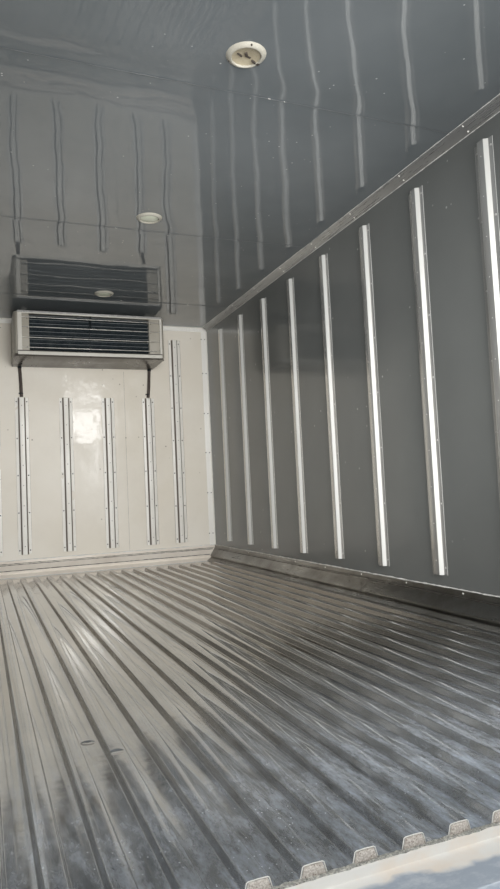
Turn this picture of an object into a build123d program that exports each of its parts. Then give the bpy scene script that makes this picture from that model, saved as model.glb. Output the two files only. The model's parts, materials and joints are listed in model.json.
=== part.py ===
from build123d import *
import math
import os

# Insulated box body of a refrigerated truck, in millimetres.
# +X is right, +Y is forward towards the cab, +Z is up.
# The origin is the middle of the bounding box on the plane that the long sills rest on.

# Driving sizes of the load space
INNER_WIDTH = 2050
INNER_HEIGHT = 2000
INNER_LENGTH = 4525
WALL_THICK = 75
FRONT_WALL_THICK = 80
ROOF_THICK = 80

# Levels of the underframe and floor
SILL_HEIGHT = 120
CROSS_HEIGHT = 80
FLOOR_SLAB_THICK = 90
FLOOR_SHEET = 2

# Rear frame and doors, as distances behind the floor's rear edge
POST_REAR = 108
DOOR_OUTER = 115
DOOR_THICK = 80
PIN_BEHIND = 145
PIN_OUTBOARD = 25
DOOR_OPEN_ANGLE = 267

# Ceiling evaporator, as seen on the front wall under the ceiling
EVAP_WIDTH = 1068
EVAP_CENTRE_X = -26
EVAP_BOTTOM = 1620
EVAP_TOP = 1950
EVAP_FACE = 4080

# Condensing unit on the outer face of the front wall
COND_WIDTH = 1320
COND_DEPTH = 400
COND_BOTTOM = 1330
COND_HEIGHT = 600

# Reach of the body in front of and behind the floor's rear edge
BUFFER_DEPTH = 60
FRONT_FACE = INNER_LENGTH + FRONT_WALL_THICK
FRONT_REACH = FRONT_FACE + COND_DEPTH
REAR_REACH = POST_REAR + BUFFER_DEPTH

# Derived planes
Y0 = -(FRONT_REACH - REAR_REACH) / 2
Z_CROSS = SILL_HEIGHT
Z_SLAB = Z_CROSS + CROSS_HEIGHT
Z_FLOOR = Z_SLAB + FLOOR_SLAB_THICK + FLOOR_SHEET
Z_CEILING = Z_FLOOR + INNER_HEIGHT
Z_ROOF = Z_CEILING + ROOF_THICK
X_WALL = INNER_WIDTH / 2
X_OUTER = X_WALL + WALL_THICK
Y_FRONT = Y0 + INNER_LENGTH
Y_FRONT_FACE = Y0 + FRONT_FACE
Y_POST = Y0 - POST_REAR

# Long sills: two channels with their webs outside, as wide apart as the truck's frame
SILL_OUTER_X = 400
SILL_FLANGE = 55
SILL_WEB = 6
SILL_HOLE_R = 6.5
SILL_HOLE_SPACING = 100
SILL_HOLE_PLACES = (450, 4150)

# Cross members between sills and floor
CROSS_COUNT = 12
CROSS_FIRST = 60
CROSS_PITCH = 400
CROSS_WIDTH = 40
CROSS_WEB = 4
CROSS_HALF_LENGTH = 1030

# Ribbed floor
RIB_PITCH = 90.4
RIB_CENTRE = 29.2
RIB_COUNT = 20
RIB_BASE = 45
RIB_TOP = 35
RIB_HEIGHT = 18
RIB_SHEET = 2
RIB_LENGTH = 4165
RIB_END_WALL = 6
PLUG_DEPTH = 24
PLUG_PROUD = 3

# Rear sill
SILL_STEP_DEPTH = 13
SILL_STEP_DROP = 16
SILL_BOTTOM = 110

# Hat strips on the walls
STRIP_WIDTH = 105
STRIP_TOP = 37
STRIP_FLANK_RUN = 9
STRIP_HEIGHT = 19
STRIP_SHEET = 2
SIDE_STRIP_FIRST = 160
SIDE_STRIP_PITCH = 442.3
SIDE_STRIP_COUNT = 10
SIDE_STRIP_Z = (172, 1898)
FRONT_STRIPS = [
    # centre x, bottom, top
    (-731, 160, 1880),
    (-519, 160, 1377),
    (-184, 160, 1377),
    (151, 160, 1377),
    (486, 160, 1377),
    (731, 160, 1880),
]

# Trims of the inner corners
TRIM_SHEET = 3
COVE_DOWN = 32
COVE_ALONG = 44
COVE_SHEET = 3.6
CORNER_WIDTH = 50
CORNER_RETURN = 20
FRONT_TRIM_HEIGHT = 36
FRONT_TRIM_RETURN = 25

# Kick rail section: distance from the wall, height above the floor sheet
KICK_REACH = 112
KICK_SECTION = [
    (0, 0),
    (KICK_REACH, 0),
    (KICK_REACH, 5),
    (62, 24),
    (68, 34),
    (66, 44),
    (60, 48),
    (17, 88),
    (17, 94),
    (6, 96),
    (6, 121),
    (0, 121),
]

# Ceiling lamps
LAMP_PLACES = (976, 2331, 3686)
LAMP_RADIUS = 68
LAMP_LENS_RADIUS = 48
LAMP_DEPTH = 14
LAMP_SLOPE = 9
LAMP_LENS_LEVEL = 6

# Bottom rail section: distance outside the wall, height above the slab's underside
RAIL_HEIGHT = 95
RAIL_SECTION = [
    (0, 0),
    (0, RAIL_HEIGHT),
    (4, RAIL_HEIGHT),
    (4, 60),
    (9, 52),
    (9, 18),
    (4, 10),
    (4, -5),
    (CROSS_HALF_LENGTH + 5 - X_OUTER, -5),
    (CROSS_HALF_LENGTH + 5 - X_OUTER, 0),
]

# Outer corner mouldings
MOULD_SHEET = 5
MOULD_LEG = 60
MOULD_EASE = 4.5

# Rear frame
POST_TOP = Z_ROOF + MOULD_SHEET
POST_FOLD = 8
POST_OUTER_X = X_OUTER + POST_FOLD
HEADER_DROP = 20
Z_HEADER = Z_CEILING - HEADER_DROP
GUTTER_LEVEL = 62
GUTTER_REACH = 14
GUTTER_SHEET = 4
GUTTER_HEIGHT = 10
SILL_FALL = 3
SILL_TUCK = 20

# Dock buffers
BUFFER_PLACES = (-720, 720)
BUFFER_WIDTH = 150
BUFFER_LOW = 202
BUFFER_HIGH = 248
BUFFER_BEVEL = 13

# Door leaves, drawn closed and then turned open about their hinge pins
PIN_X = X_OUTER + PIN_OUTBOARD
PIN_Y = Y0 - PIN_BEHIND
DOOR_EDGE_GAP = 7
DOOR_MEET_GAP = 5
DOOR_LOW = Z_FLOOR - SILL_STEP_DROP + 8
DOOR_HIGH = Z_HEADER - 8
DOOR_IN_X = DOOR_MEET_GAP
DOOR_OUT_X = X_WALL - DOOR_EDGE_GAP
DOOR_SLAB = 40
PLUG_INSET = 12
PLUG_SLANT = 12
SEAL_WIDTH = 11
SEAL_THICK = 20

# Hinges, three on each door, as heights above the floor
HINGE_LEVELS = (190, 985, 1780)
BARREL_RADIUS = 15
BARREL_SIDES = 12
BARREL_LENGTH = 56
PIN_RADIUS = 8
PIN_PLAY = 0.05
BORE_SIDES = 12
PIN_END = 4
PIN_HEAD_RADIUS = 13
PIN_HEAD_HEIGHT = 6
EAR_THICK = 10
EAR_GAP = 1
EAR_REACH = 16
ARM_THICK = 12
ARM_REACH = 75
ARM_LAP = 6
STRAP_OFFSET = 24
STRAP_THICK = 6
STRAP_LENGTH = 230
STRAP_HEIGHT = 50
STRAP_TIP = 34
HINGE_PLATE_THICK = 8
HINGE_PLATE_Y = (20, 100)

# Lock rods, shown released; levels are above the floor
ROD_X = 120
ROD_RADIUS = 13
ROD_SIDES = 12
ROD_OFF_DOOR = 31
ROD_BEYOND = 2
Y_ROD = Y0 - DOOR_OUTER - ROD_OFF_DOOR
CAM_REACH = 46
CAM_HEIGHT = 20
CAM_THICK = 16
CAM_INSET = 14
GUIDE_LEVELS = (108, 658, 1308, 1858)
GUIDE_PLAY = 0.5
GUIDE_SHEET = 5
GUIDE_FOOT = 76
GUIDE_HEIGHT = 44
HANDLE_LEVEL = 858
HANDLE_LENGTH = 330
HANDLE_ROOT = 30
HANDLE_GRIP = 22
HANDLE_END = 14
HANDLE_THICK = 10
HUB_SIZE = 44
CATCH_PLACE = 250
CATCH_WIDTH = 34
KEEPER_WIDTH = 100
KEEPER_HEIGHT = 44
KEEPER_DEPTH = 14
KEEPER_SHEET = 4
KEEPER_WALL = 24
KEEPER_ABOVE = 6
KEEPER_BELOW = 60

# Rubber stops for the open doors
HOLDBACK_Y = 780
HOLDBACK_LEVEL = 500
HOLDBACK_LENGTH = 95
HOLDBACK_FOOT = 5
HOLDBACK_PAD = 20

# Evaporator housing
EVAP_LEFT = EVAP_CENTRE_X - EVAP_WIDTH / 2
EVAP_RIGHT = EVAP_CENTRE_X + EVAP_WIDTH / 2
EVAP_FLARE = 25
EVAP_SHOULDER = 45
EVAP_OPEN_LEFT = -478
EVAP_OPEN_RIGHT = 412
EVAP_SHEET = 3
EVAP_TOP_FOLD = 16
EVAP_LIP = 42
PAN_NOSE = 18
PAN_KNEE = 4
PAN_BEND = 30
CHEEK_BACK = 16
Y_EVAP = Y0 + EVAP_FACE
Z_EVAP_LOW = Z_FLOOR + EVAP_BOTTOM
Z_EVAP_HIGH = Z_FLOOR + EVAP_TOP
Z_EVAP_FAN = (Z_EVAP_LOW + Z_EVAP_HIGH) / 2 + 16
EVAP_COIL_Y = (4330, 4500)
HANGER_SIZE = 40
HANGER_PLACES = [
    # x, distance from the rib ends
    (-500, 4290),
    (450, 4290),
    (-500, 4440),
    (450, 4440),
]

# Evaporator guard and slats
GUARD_WIRE_RADIUS = 3.5
GUARD_WIRE_SIDES = 6
GUARD_WIRE_BACK = 6
GUARD_LEVELS = (1684, 1758, 1836, 1908)
GUARD_MIDDLE = -33
GUARD_ANGLE = 24
GUARD_SHEET = 2
GUARD_RETURN = 14
LOUVRE_COUNT = 9
LOUVRE_Y = 4130
LOUVRE_FIRST = 62
LOUVRE_LAST = 32
LOUVRE_RISE = 20
LOUVRE_RUN = 30
LOUVRE_SHEET = 2
LOUVRE_DIVIDER = -40

# Fan wheels and motors
HUB_SIDES = 12
HUB_CAP = 5
BLADE_CAMBER = 0.12
BLADE_THICK = 0.03
BLADE_PITCH = 32
BLADE_ROOT = 0.6
BLADE_TAPER = 0.72
BLADE_CORNER = 0.2
SHAFT_RADIUS = 6
SHAFT_PLAY = 0.05
MOTOR_SIDES = 12
MOTOR_GAP = 9
EVAP_FAN_PLACES = (-255, 190)
EVAP_FAN_RADIUS = 118
EVAP_FAN_Y = 4262
EVAP_HUB_RADIUS = 34
EVAP_HUB = 34
EVAP_BLADES = 4
EVAP_CHORD = 92
EVAP_MOTOR_RADIUS = 38

# Drain hoses
HOSE_RADIUS = 12.5
HOSE_OFF_WALL = 16
HOSE_LOW = 1382
HOSES = [
    # x at the pan, x at the strip
    (-528, -519),
    (503, 486),
]

# Condensing unit housing
COND_LEFT = -COND_WIDTH / 2
COND_RIGHT = COND_WIDTH / 2
COND_SHEET = 4
COND_SHOULDER = 70
COND_RIM = 30
COND_BASE_HEIGHT = 60
COND_COIL_Y = (40, 110)
COND_COIL_INSET = 40
Z_COND = Z_FLOOR + COND_BOTTOM

# Condenser guards and fans
GUARD_RINGS = (110, 188)
GUARD_SIDES = 12
GUARD_WIRE = 4
GUARD_DISC = 34
GUARD_SPOKES = 3
GUARD_HOLD = 16
COND_FACE = Y_FRONT_FACE + COND_DEPTH - 2 * GUARD_WIRE
COND_FAN_PLACES = (-330, 330)
COND_FAN_LEVEL = Z_COND + 310
COND_FAN_RADIUS = 178
COND_MOUTH_RADIUS = 192
COND_FAN_Y = Y_FRONT_FACE + 290
COND_HUB_RADIUS = 46
COND_HUB = 50
COND_BLADES = 5
COND_CHORD = 120
COND_MOTOR_RADIUS = 50


def box(x0, x1, y0, y1, z0, z1):
    """Block between two corners."""
    centre = ((x0 + x1) / 2, (y0 + y1) / 2, (z0 + z1) / 2)
    return Pos(*centre) * Box(abs(x1 - x0), abs(y1 - y0), abs(z1 - z0))


def bar_along_x(section, x0, x1):
    """Bar with a section of (y, z) points."""
    face = make_face(Polyline(*[(x0, y, z) for y, z in section], close=True))
    return extrude(face, amount=x1 - x0, dir=(1, 0, 0))


def bar_along_y(section, y0, y1):
    """Bar with a section of (x, z) points."""
    face = make_face(Polyline(*[(x, y0, z) for x, z in section], close=True))
    return extrude(face, amount=y1 - y0, dir=(0, 1, 0))


def bar_along_z(section, z0, z1):
    """Bar with a section of (x, y) points."""
    face = make_face(Polyline(*[(x, y, z0) for x, y in section], close=True))
    return extrude(face, amount=z1 - z0, dir=(0, 0, 1))


def round_bar(start, end, radius):
    """Straight round bar between two points."""
    axis = Vector(*end) - Vector(*start)
    plane = Plane(origin=start, z_dir=axis)
    return extrude(plane * Circle(radius), amount=axis.length)


def faceted_bar(start, end, radius, sides, around=False):
    """Straight bar with flat sides: inside the radius, or, if around, outside it."""
    axis = Vector(*end) - Vector(*start)
    plane = Plane(origin=start, z_dir=axis)
    outline = RegularPolygon(radius, sides, major_radius=not around)
    return extrude(plane * outline, amount=axis.length)


def mirrored(shapes):
    """Copies on the other side of the centre line."""
    return [mirror(shape, about=Plane.YZ) for shape in shapes]


def both_sides(shapes):
    """The shapes and their copies on the other side."""
    return list(shapes) + mirrored(shapes)


def rear_y(distance):
    """Y of a point that is so far behind the floor's rear edge."""
    return Y0 - distance


# Underframe


def main_sills():
    """Long channels that the body stands on, with two bolt holes near each end of the webs."""
    outer = SILL_OUTER_X
    inner = outer - SILL_FLANGE
    web = outer - SILL_WEB
    section = [
        (outer, 0),
        (outer, SILL_HEIGHT),
        (inner, SILL_HEIGHT),
        (inner, SILL_HEIGHT - SILL_WEB),
        (web, SILL_HEIGHT - SILL_WEB),
        (web, SILL_WEB),
        (inner, SILL_WEB),
        (inner, 0),
    ]
    sill = bar_along_y(section, Y0, Y_FRONT_FACE)
    half = SILL_HOLE_SPACING / 2
    z = SILL_HEIGHT / 2
    for place in SILL_HOLE_PLACES:
        for y in (Y0 + place - half, Y0 + place + half):
            sill -= round_bar((web - 5, y, z), (outer + 5, y, z), SILL_HOLE_R)
    return both_sides([sill])


def cross_members():
    """Channels across the sills, open to the rear."""
    members = []
    for index in range(CROSS_COUNT):
        front = Y0 + CROSS_FIRST + index * CROSS_PITCH + CROSS_WIDTH
        back = front - CROSS_WIDTH
        top = Z_SLAB
        section = [
            (front, Z_CROSS),
            (front, top),
            (back, top),
            (back, top - CROSS_WEB),
            (front - CROSS_WEB, top - CROSS_WEB),
            (front - CROSS_WEB, Z_CROSS + CROSS_WEB),
            (back, Z_CROSS + CROSS_WEB),
            (back, Z_CROSS),
        ]
        members.append(bar_along_x(section, -CROSS_HALF_LENGTH, CROSS_HALF_LENGTH))
    return members


def bottom_rails():
    """Rails that wrap the lower edges of the side walls."""
    section = [(X_OUTER + out, Z_SLAB + up) for out, up in RAIL_SECTION]
    return both_sides([bar_along_y(section, Y0, Y_FRONT_FACE)])


# Insulated panels


def floor_slab():
    """Insulated floor between the side walls."""
    return [box(-X_WALL, X_WALL, Y0, Y_FRONT, Z_SLAB, Z_FLOOR - FLOOR_SHEET)]


def side_wall_right():
    """Insulated side wall with flat skins."""
    return [box(X_WALL, X_OUTER, Y0, Y_FRONT, Z_SLAB, Z_CEILING)]


def side_wall_left():
    """Mirror of the right wall."""
    return mirrored(side_wall_right())


def front_wall():
    """Insulated front wall across the ends of the side walls."""
    return [box(-X_OUTER, X_OUTER, Y_FRONT, Y_FRONT_FACE, Z_SLAB, Z_CEILING)]


def roof_panel():
    """Insulated roof on top of the walls."""
    return [box(-X_OUTER, X_OUTER, Y0, Y_FRONT_FACE, Z_CEILING, Z_ROOF)]


# Outer corner mouldings


def angle_section(corner, leg_a, leg_b, sheet):
    """Angle outside a corner, legs running towards -a and -b of the corner point."""
    a, b = corner
    return [
        (a, b - leg_b),
        (a + sheet, b - leg_b),
        (a + sheet, b + sheet),
        (a - leg_a, b + sheet),
        (a - leg_a, b),
        (a, b),
    ]


def eased(bar, along, outward):
    """Round the outermost edge of a moulding, on the side that outward points to."""
    aim = Vector(*outward)
    corner = max(bar.edges().filter_by(along), key=lambda edge: edge.center().dot(aim))
    return fillet(corner, MOULD_EASE)


def roof_rails():
    """Angle moulding round the side and front edges of the roof, rounded outside."""
    legs = (MOULD_LEG, MOULD_LEG, MOULD_SHEET)
    end = X_OUTER + MOULD_SHEET
    side = bar_along_y(angle_section((X_OUTER, Z_ROOF), *legs), Y0, Y_FRONT_FACE + MOULD_SHEET)
    front = bar_along_x(angle_section((Y_FRONT_FACE, Z_ROOF), *legs), -end, end)
    rails = eased(front, Axis.X, (0, 1, 1))
    for rail in both_sides([eased(side, Axis.Y, (1, 0, 1))]):
        rails += rail
    return [rails]


def front_corner_posts():
    """Upright angle mouldings on the two front corners."""
    section = angle_section((X_OUTER, Y_FRONT_FACE), MOULD_LEG, MOULD_LEG, MOULD_SHEET)
    post = bar_along_z(section, Z_SLAB + RAIL_HEIGHT, Z_ROOF - MOULD_LEG)
    return both_sides([eased(post, Axis.Z, (1, 1, 0))])


# Floor


def rib_centres():
    """X of the middle of each floor rib."""
    half = (RIB_COUNT - 1) / 2
    return [RIB_CENTRE + (index - half) * RIB_PITCH for index in range(RIB_COUNT)]


def rib_outline(centre, inset):
    """Trapezoid of a rib, or of the space inside it when inset is the sheet."""
    return [
        (centre - RIB_BASE / 2 + inset, Z_FLOOR),
        (centre + RIB_BASE / 2 - inset, Z_FLOOR),
        (centre + RIB_TOP / 2 - inset, Z_FLOOR + RIB_HEIGHT - inset),
        (centre - RIB_TOP / 2 + inset, Z_FLOOR + RIB_HEIGHT - inset),
    ]


def floor_plate():
    """Floor sheet with hollow ribs pressed up along its length, flat next to the front wall."""
    low = Z_FLOOR - FLOOR_SHEET
    rib_end = Y0 + RIB_LENGTH
    section = [(X_WALL, low), (-X_WALL, low), (-X_WALL, Z_FLOOR)]
    for centre in rib_centres():
        base_left, base_right, top_right, top_left = rib_outline(centre, 0)
        section += [base_left, top_left, top_right, base_right]
    section.append((X_WALL, Z_FLOOR))
    plate = bar_along_y(section, Y0, rib_end)
    for centre in rib_centres():
        plate -= bar_along_y(rib_outline(centre, RIB_SHEET), Y0 - 1, rib_end - RIB_END_WALL)
    plate += box(-X_WALL, X_WALL, rib_end, Y_FRONT, low, Z_FLOOR)
    return [plate]


def rib_end_plugs():
    """Plugs that close the rear ends of the ribs."""
    return [
        bar_along_y(rib_outline(centre, RIB_SHEET), Y0 - PLUG_PROUD, Y0 + PLUG_DEPTH)
        for centre in rib_centres()
    ]


# Inner strips and trims


def hat_section(centre, base, out):
    """Hat strip as (along, away) points: centre on the wall line, out is +1 or -1."""
    half = STRIP_WIDTH / 2
    top = STRIP_TOP / 2
    foot = top + STRIP_FLANK_RUN
    inner = STRIP_HEIGHT - STRIP_SHEET
    right = [
        (half, 0),
        (half, STRIP_SHEET),
        (foot, STRIP_SHEET),
        (top, STRIP_HEIGHT),
    ]
    under = [
        (top - 1, inner),
        (foot - 1, 0),
    ]
    left = [(-a, b) for a, b in reversed(right)]
    under_left = [(-a, b) for a, b in reversed(under)]
    loop = right + left + [under_left[0], under_left[1]] + [under[0], under[1]]
    return [(centre + a, base + out * b) for a, b in loop]


def wall_strips_right():
    """Hat strips on the right wall, every one open at its square-cut ends."""
    strips = []
    for index in range(SIDE_STRIP_COUNT):
        centre = Y0 + SIDE_STRIP_FIRST + index * SIDE_STRIP_PITCH
        section = [(x, y) for y, x in hat_section(centre, X_WALL, -1)]
        strips.append(bar_along_z(section, Z_FLOOR + SIDE_STRIP_Z[0], Z_FLOOR + SIDE_STRIP_Z[1]))
    return strips


def wall_strips_left():
    """Mirror of the right wall's strips."""
    return mirrored(wall_strips_right())


def front_strips():
    """Hat strips on the front wall: four short ones and a long one at each side."""
    return [
        bar_along_z(hat_section(x, Y_FRONT, -1), Z_FLOOR + low, Z_FLOOR + high)
        for x, low, high in FRONT_STRIPS
    ]


def cove_trims():
    """Slanted flat strips between ceiling and side walls."""
    section = [
        (X_WALL, Z_CEILING - COVE_DOWN),
        (X_WALL, Z_CEILING - COVE_DOWN + COVE_SHEET),
        (X_WALL - COVE_ALONG + COVE_SHEET, Z_CEILING),
        (X_WALL - COVE_ALONG, Z_CEILING),
    ]
    return both_sides([bar_along_y(section, Y0, Y_FRONT - FRONT_TRIM_RETURN)])


def corner_trims():
    """Upright angles in the front corners and the angle along the top of the front wall."""
    x_in = X_WALL - CORNER_WIDTH
    upright = [
        (X_WALL, Y_FRONT),
        (x_in, Y_FRONT),
        (x_in, Y_FRONT - TRIM_SHEET),
        (X_WALL - TRIM_SHEET, Y_FRONT - TRIM_SHEET),
        (X_WALL - TRIM_SHEET, Y_FRONT - CORNER_RETURN),
        (X_WALL, Y_FRONT - CORNER_RETURN),
    ]
    top = [
        (Y_FRONT, Z_CEILING - FRONT_TRIM_HEIGHT),
        (Y_FRONT - TRIM_SHEET, Z_CEILING - FRONT_TRIM_HEIGHT),
        (Y_FRONT - TRIM_SHEET, Z_CEILING - TRIM_SHEET),
        (Y_FRONT - FRONT_TRIM_RETURN, Z_CEILING - TRIM_SHEET),
        (Y_FRONT - FRONT_TRIM_RETURN, Z_CEILING),
        (Y_FRONT, Z_CEILING),
    ]
    post = bar_along_z(upright, Z_FLOOR + KICK_SECTION[-1][1], Z_CEILING - FRONT_TRIM_HEIGHT)
    return both_sides([post]) + [bar_along_x(top, -X_WALL, X_WALL)]


def kick_rail_right():
    """Kick rail along the foot of the right wall."""
    section = [(X_WALL - away, Z_FLOOR + up) for away, up in KICK_SECTION]
    return [bar_along_y(section, Y0, Y_FRONT)]


def kick_rail_left():
    """Mirror of the right kick rail."""
    return mirrored(kick_rail_right())


def kick_rail_front():
    """Kick rail along the foot of the front wall, coped against the side rails."""
    section = [(Y_FRONT - away, Z_FLOOR + up) for away, up in KICK_SECTION]
    rail = bar_along_x(section, -X_WALL, X_WALL)
    for side in kick_rail_right() + kick_rail_left():
        rail -= side
    return [rail]


def ceiling_lamps():
    """Round lamps under the ceiling: a sloping ring round a recessed lens."""
    profile = [
        (0, 0),
        (LAMP_RADIUS, 0),
        (LAMP_RADIUS - LAMP_SLOPE, -LAMP_DEPTH),
        (LAMP_LENS_RADIUS, -LAMP_DEPTH),
        (LAMP_LENS_RADIUS, -LAMP_LENS_LEVEL),
        (0, -LAMP_LENS_LEVEL),
    ]
    face = make_face(Polyline(*[(r, 0, z) for r, z in profile], close=True))
    lamp = revolve(face, axis=Axis.Z)
    return [Pos(0, Y0 + place, Z_CEILING) * lamp for place in LAMP_PLACES]


# Rear frame


def rear_post_right():
    """Rear corner post, a closed stainless box with a folded outer edge."""
    section = [
        (X_WALL, Y0),
        (X_WALL, Y_POST),
        (POST_OUTER_X - POST_FOLD, Y_POST),
        (POST_OUTER_X, Y_POST + POST_FOLD),
        (POST_OUTER_X, Y0),
    ]
    return [bar_along_z(section, Z_CROSS, POST_TOP)]


def rear_post_left():
    """Mirror of the right post."""
    return mirrored(rear_post_right())


def rear_header():
    """Header beam between the posts with a rain gutter over the doors."""
    lip = Z_HEADER + GUTTER_LEVEL
    section = [
        (Y0, Z_HEADER),
        (Y0, POST_TOP),
        (Y_POST, POST_TOP),
        (Y_POST, lip + GUTTER_HEIGHT),
        (Y_POST - GUTTER_REACH, lip + GUTTER_SHEET),
        (Y_POST - GUTTER_REACH, lip),
        (Y_POST, lip),
        (Y_POST, Z_HEADER),
    ]
    return [bar_along_x(section, -X_WALL, X_WALL)]


def rear_sill():
    """Rear sill: a step down from the floor's edge to a ledge under the doors."""
    step = Y0 - SILL_STEP_DEPTH
    ledge = Z_FLOOR - SILL_STEP_DROP
    section = [
        (Y0, Z_FLOOR),
        (step, Z_FLOOR),
        (step, ledge),
        (Y_POST, ledge - SILL_FALL),
        (Y_POST, Z_FLOOR - SILL_BOTTOM),
        (Y_POST + SILL_TUCK, Z_CROSS),
        (Y0, Z_CROSS),
    ]
    return [bar_along_x(section, -X_WALL, X_WALL)]


def buffers():
    """Rubber dock buffers on the rear face of the sill, bevelled outside."""
    back = Y_POST - BUFFER_DEPTH
    section = [
        (Y_POST, BUFFER_LOW),
        (Y_POST, BUFFER_HIGH),
        (back + BUFFER_BEVEL, BUFFER_HIGH),
        (back, BUFFER_HIGH - BUFFER_BEVEL),
        (back, BUFFER_LOW + BUFFER_BEVEL),
        (back + BUFFER_BEVEL, BUFFER_LOW),
    ]
    half = BUFFER_WIDTH / 2
    return [bar_along_x(section, x - half, x + half) for x in BUFFER_PLACES]


# Doors, drawn closed and then turned open about their hinge pins


def opened(shapes):
    """Turn right-hand door pieces from closed to the stored open place."""
    axis = Axis((PIN_X, PIN_Y, 0), (0, 0, 1))
    return [shape.rotate(axis, DOOR_OPEN_ANGLE) for shape in shapes]


def door_right():
    """Door leaf: an outer slab and a smaller inner plug with slanted edges."""
    outer = rear_y(DOOR_OUTER)
    middle = outer + DOOR_SLAB
    inner = outer + DOOR_THICK
    leaf = box(DOOR_IN_X, DOOR_OUT_X, outer, middle, DOOR_LOW, DOOR_HIGH)
    plug = box(
        DOOR_IN_X + PLUG_INSET,
        DOOR_OUT_X - PLUG_INSET,
        middle,
        inner,
        DOOR_LOW + PLUG_INSET,
        DOOR_HIGH - PLUG_INSET,
    )
    rim = plug.faces().sort_by(Axis.Y)[-1].edges()
    return opened([leaf + chamfer(rim, PLUG_SLANT)])


def door_left():
    """Mirror of the right door."""
    return mirrored(door_right())


def door_seal_right():
    """Rubber seal round the plug of the door."""
    back = rear_y(DOOR_OUTER) + DOOR_SLAB
    front = back + SEAL_THICK
    inset = PLUG_INSET - SEAL_WIDTH
    ring = box(
        DOOR_IN_X + inset, DOOR_OUT_X - inset, back, front, DOOR_LOW + inset, DOOR_HIGH - inset
    )
    hole = box(
        DOOR_IN_X + PLUG_INSET,
        DOOR_OUT_X - PLUG_INSET,
        back - 1,
        front + 1,
        DOOR_LOW + PLUG_INSET,
        DOOR_HIGH - PLUG_INSET,
    )
    return opened([ring - hole])


def door_seal_left():
    """Mirror of the right seal."""
    return mirrored(door_seal_right())


# Hinges


def hinge_levels():
    """Height of the middle of each hinge."""
    return [Z_FLOOR + level for level in HINGE_LEVELS]


def pin_space(low, high):
    """Cutter for a pin's hole, with play."""
    ends = ((PIN_X, PIN_Y, low), (PIN_X, PIN_Y, high))
    return faceted_bar(*ends, PIN_RADIUS + PIN_PLAY, BORE_SIDES, around=True)


def door_straps_right():
    """Hinge straps: a barrel round the pin, a joggled arm and a tapered strap on the door."""
    half = STRAP_HEIGHT / 2
    tip = STRAP_TIP / 2
    start = Vector(PIN_X, PIN_Y)
    end = Vector(PIN_X - ARM_REACH, PIN_Y + STRAP_OFFSET)
    along = (end - start).normalized()
    side = Vector(-along.Y, along.X) * (ARM_THICK / 2)
    arm_corners = [start + side, end + side, end - side, start - side]
    arm_section = [(p.X, p.Y) for p in arm_corners]
    root_x = end.X + ARM_LAP
    tip_x = end.X - STRAP_LENGTH
    straps = []
    for level in hinge_levels():
        low = level - BARREL_LENGTH / 2
        high = level + BARREL_LENGTH / 2
        barrel_plane = Plane(origin=(PIN_X, PIN_Y, low))
        barrel_face = barrel_plane * RegularPolygon(BARREL_RADIUS, BARREL_SIDES)
        barrel = extrude(barrel_face, amount=BARREL_LENGTH)
        arm = bar_along_z(arm_section, level - half, level + half)
        strap_outline = [
            (root_x, level - half),
            (root_x, level + half),
            (tip_x, level + tip),
            (tip_x, level - tip),
        ]
        strap = bar_along_y(strap_outline, end.Y, end.Y + STRAP_THICK)
        bore = pin_space(low - 1, high + 1)
        straps.append(barrel + arm + strap - bore)
    return opened(straps)


def door_straps_left():
    """Mirror of the right straps."""
    return mirrored(door_straps_right())


def ear_outline(plate_y):
    """Face of one ear: from the plate to a half octagon round the pin."""
    reach = EAR_REACH
    outline = [
        (POST_OUTER_X, plate_y[0]),
        (POST_OUTER_X, plate_y[1]),
        (POST_OUTER_X + HINGE_PLATE_THICK, plate_y[1]),
        (PIN_X + reach, PIN_Y),
        (PIN_X + reach / 2, PIN_Y - reach),
        (PIN_X - reach / 2, PIN_Y - reach),
        (PIN_X - reach, PIN_Y),
    ]
    return make_face(Polyline(*outline, close=True))


def hinge_brackets():
    """Plates on the outer faces of the posts with two ears each that hold the pins."""
    brackets = []
    plate_x = (POST_OUTER_X, POST_OUTER_X + HINGE_PLATE_THICK)
    plate_y = (rear_y(HINGE_PLATE_Y[1]), rear_y(HINGE_PLATE_Y[0]))
    first = BARREL_LENGTH / 2 + EAR_GAP
    last = first + EAR_THICK
    ear = extrude(ear_outline(plate_y), amount=EAR_THICK, dir=(0, 0, 1))
    for level in hinge_levels():
        bracket = box(*plate_x, *plate_y, level - last, level + last)
        for low in (level - last, level + first):
            bracket += Pos(0, 0, low) * ear
        brackets.append(bracket - pin_space(level - last, level + last))
    return both_sides(brackets)


def hinge_pins():
    """Pins with a hexagon head on top."""
    pins = []
    reach = BARREL_LENGTH / 2 + EAR_GAP + EAR_THICK
    for level in hinge_levels():
        bottom = (PIN_X, PIN_Y, level - reach - PIN_END)
        top = (PIN_X, PIN_Y, level + reach)
        head = extrude(RegularPolygon(PIN_HEAD_RADIUS, 6), amount=PIN_HEAD_HEIGHT)
        pins.append(round_bar(bottom, top, PIN_RADIUS) + Pos(*top) * head)
    return both_sides(pins)


# Lock rods, shown released


def rod_guide(level):
    """One guide: a foot on the door with a saddle round the rod."""
    face = rear_y(DOOR_OUTER)
    back = face - GUIDE_SHEET
    foot = GUIDE_FOOT / 2
    slot = ROD_RADIUS + GUIDE_PLAY
    wall = slot + GUIDE_SHEET
    section = [
        (ROD_X - foot, face),
        (ROD_X + foot, face),
        (ROD_X + foot, back),
        (ROD_X + wall, back),
        (ROD_X + wall, Y_ROD - wall),
        (ROD_X - wall, Y_ROD - wall),
        (ROD_X - wall, back),
        (ROD_X - foot, back),
    ]
    half = GUIDE_HEIGHT / 2
    saddle = bar_along_z(section, level - half, level + half)
    rod_space = box(
        ROD_X - slot, ROD_X + slot, Y_ROD - slot, Y_ROD + slot, level - half - 1, level + half + 1
    )
    return saddle - rod_space


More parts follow.
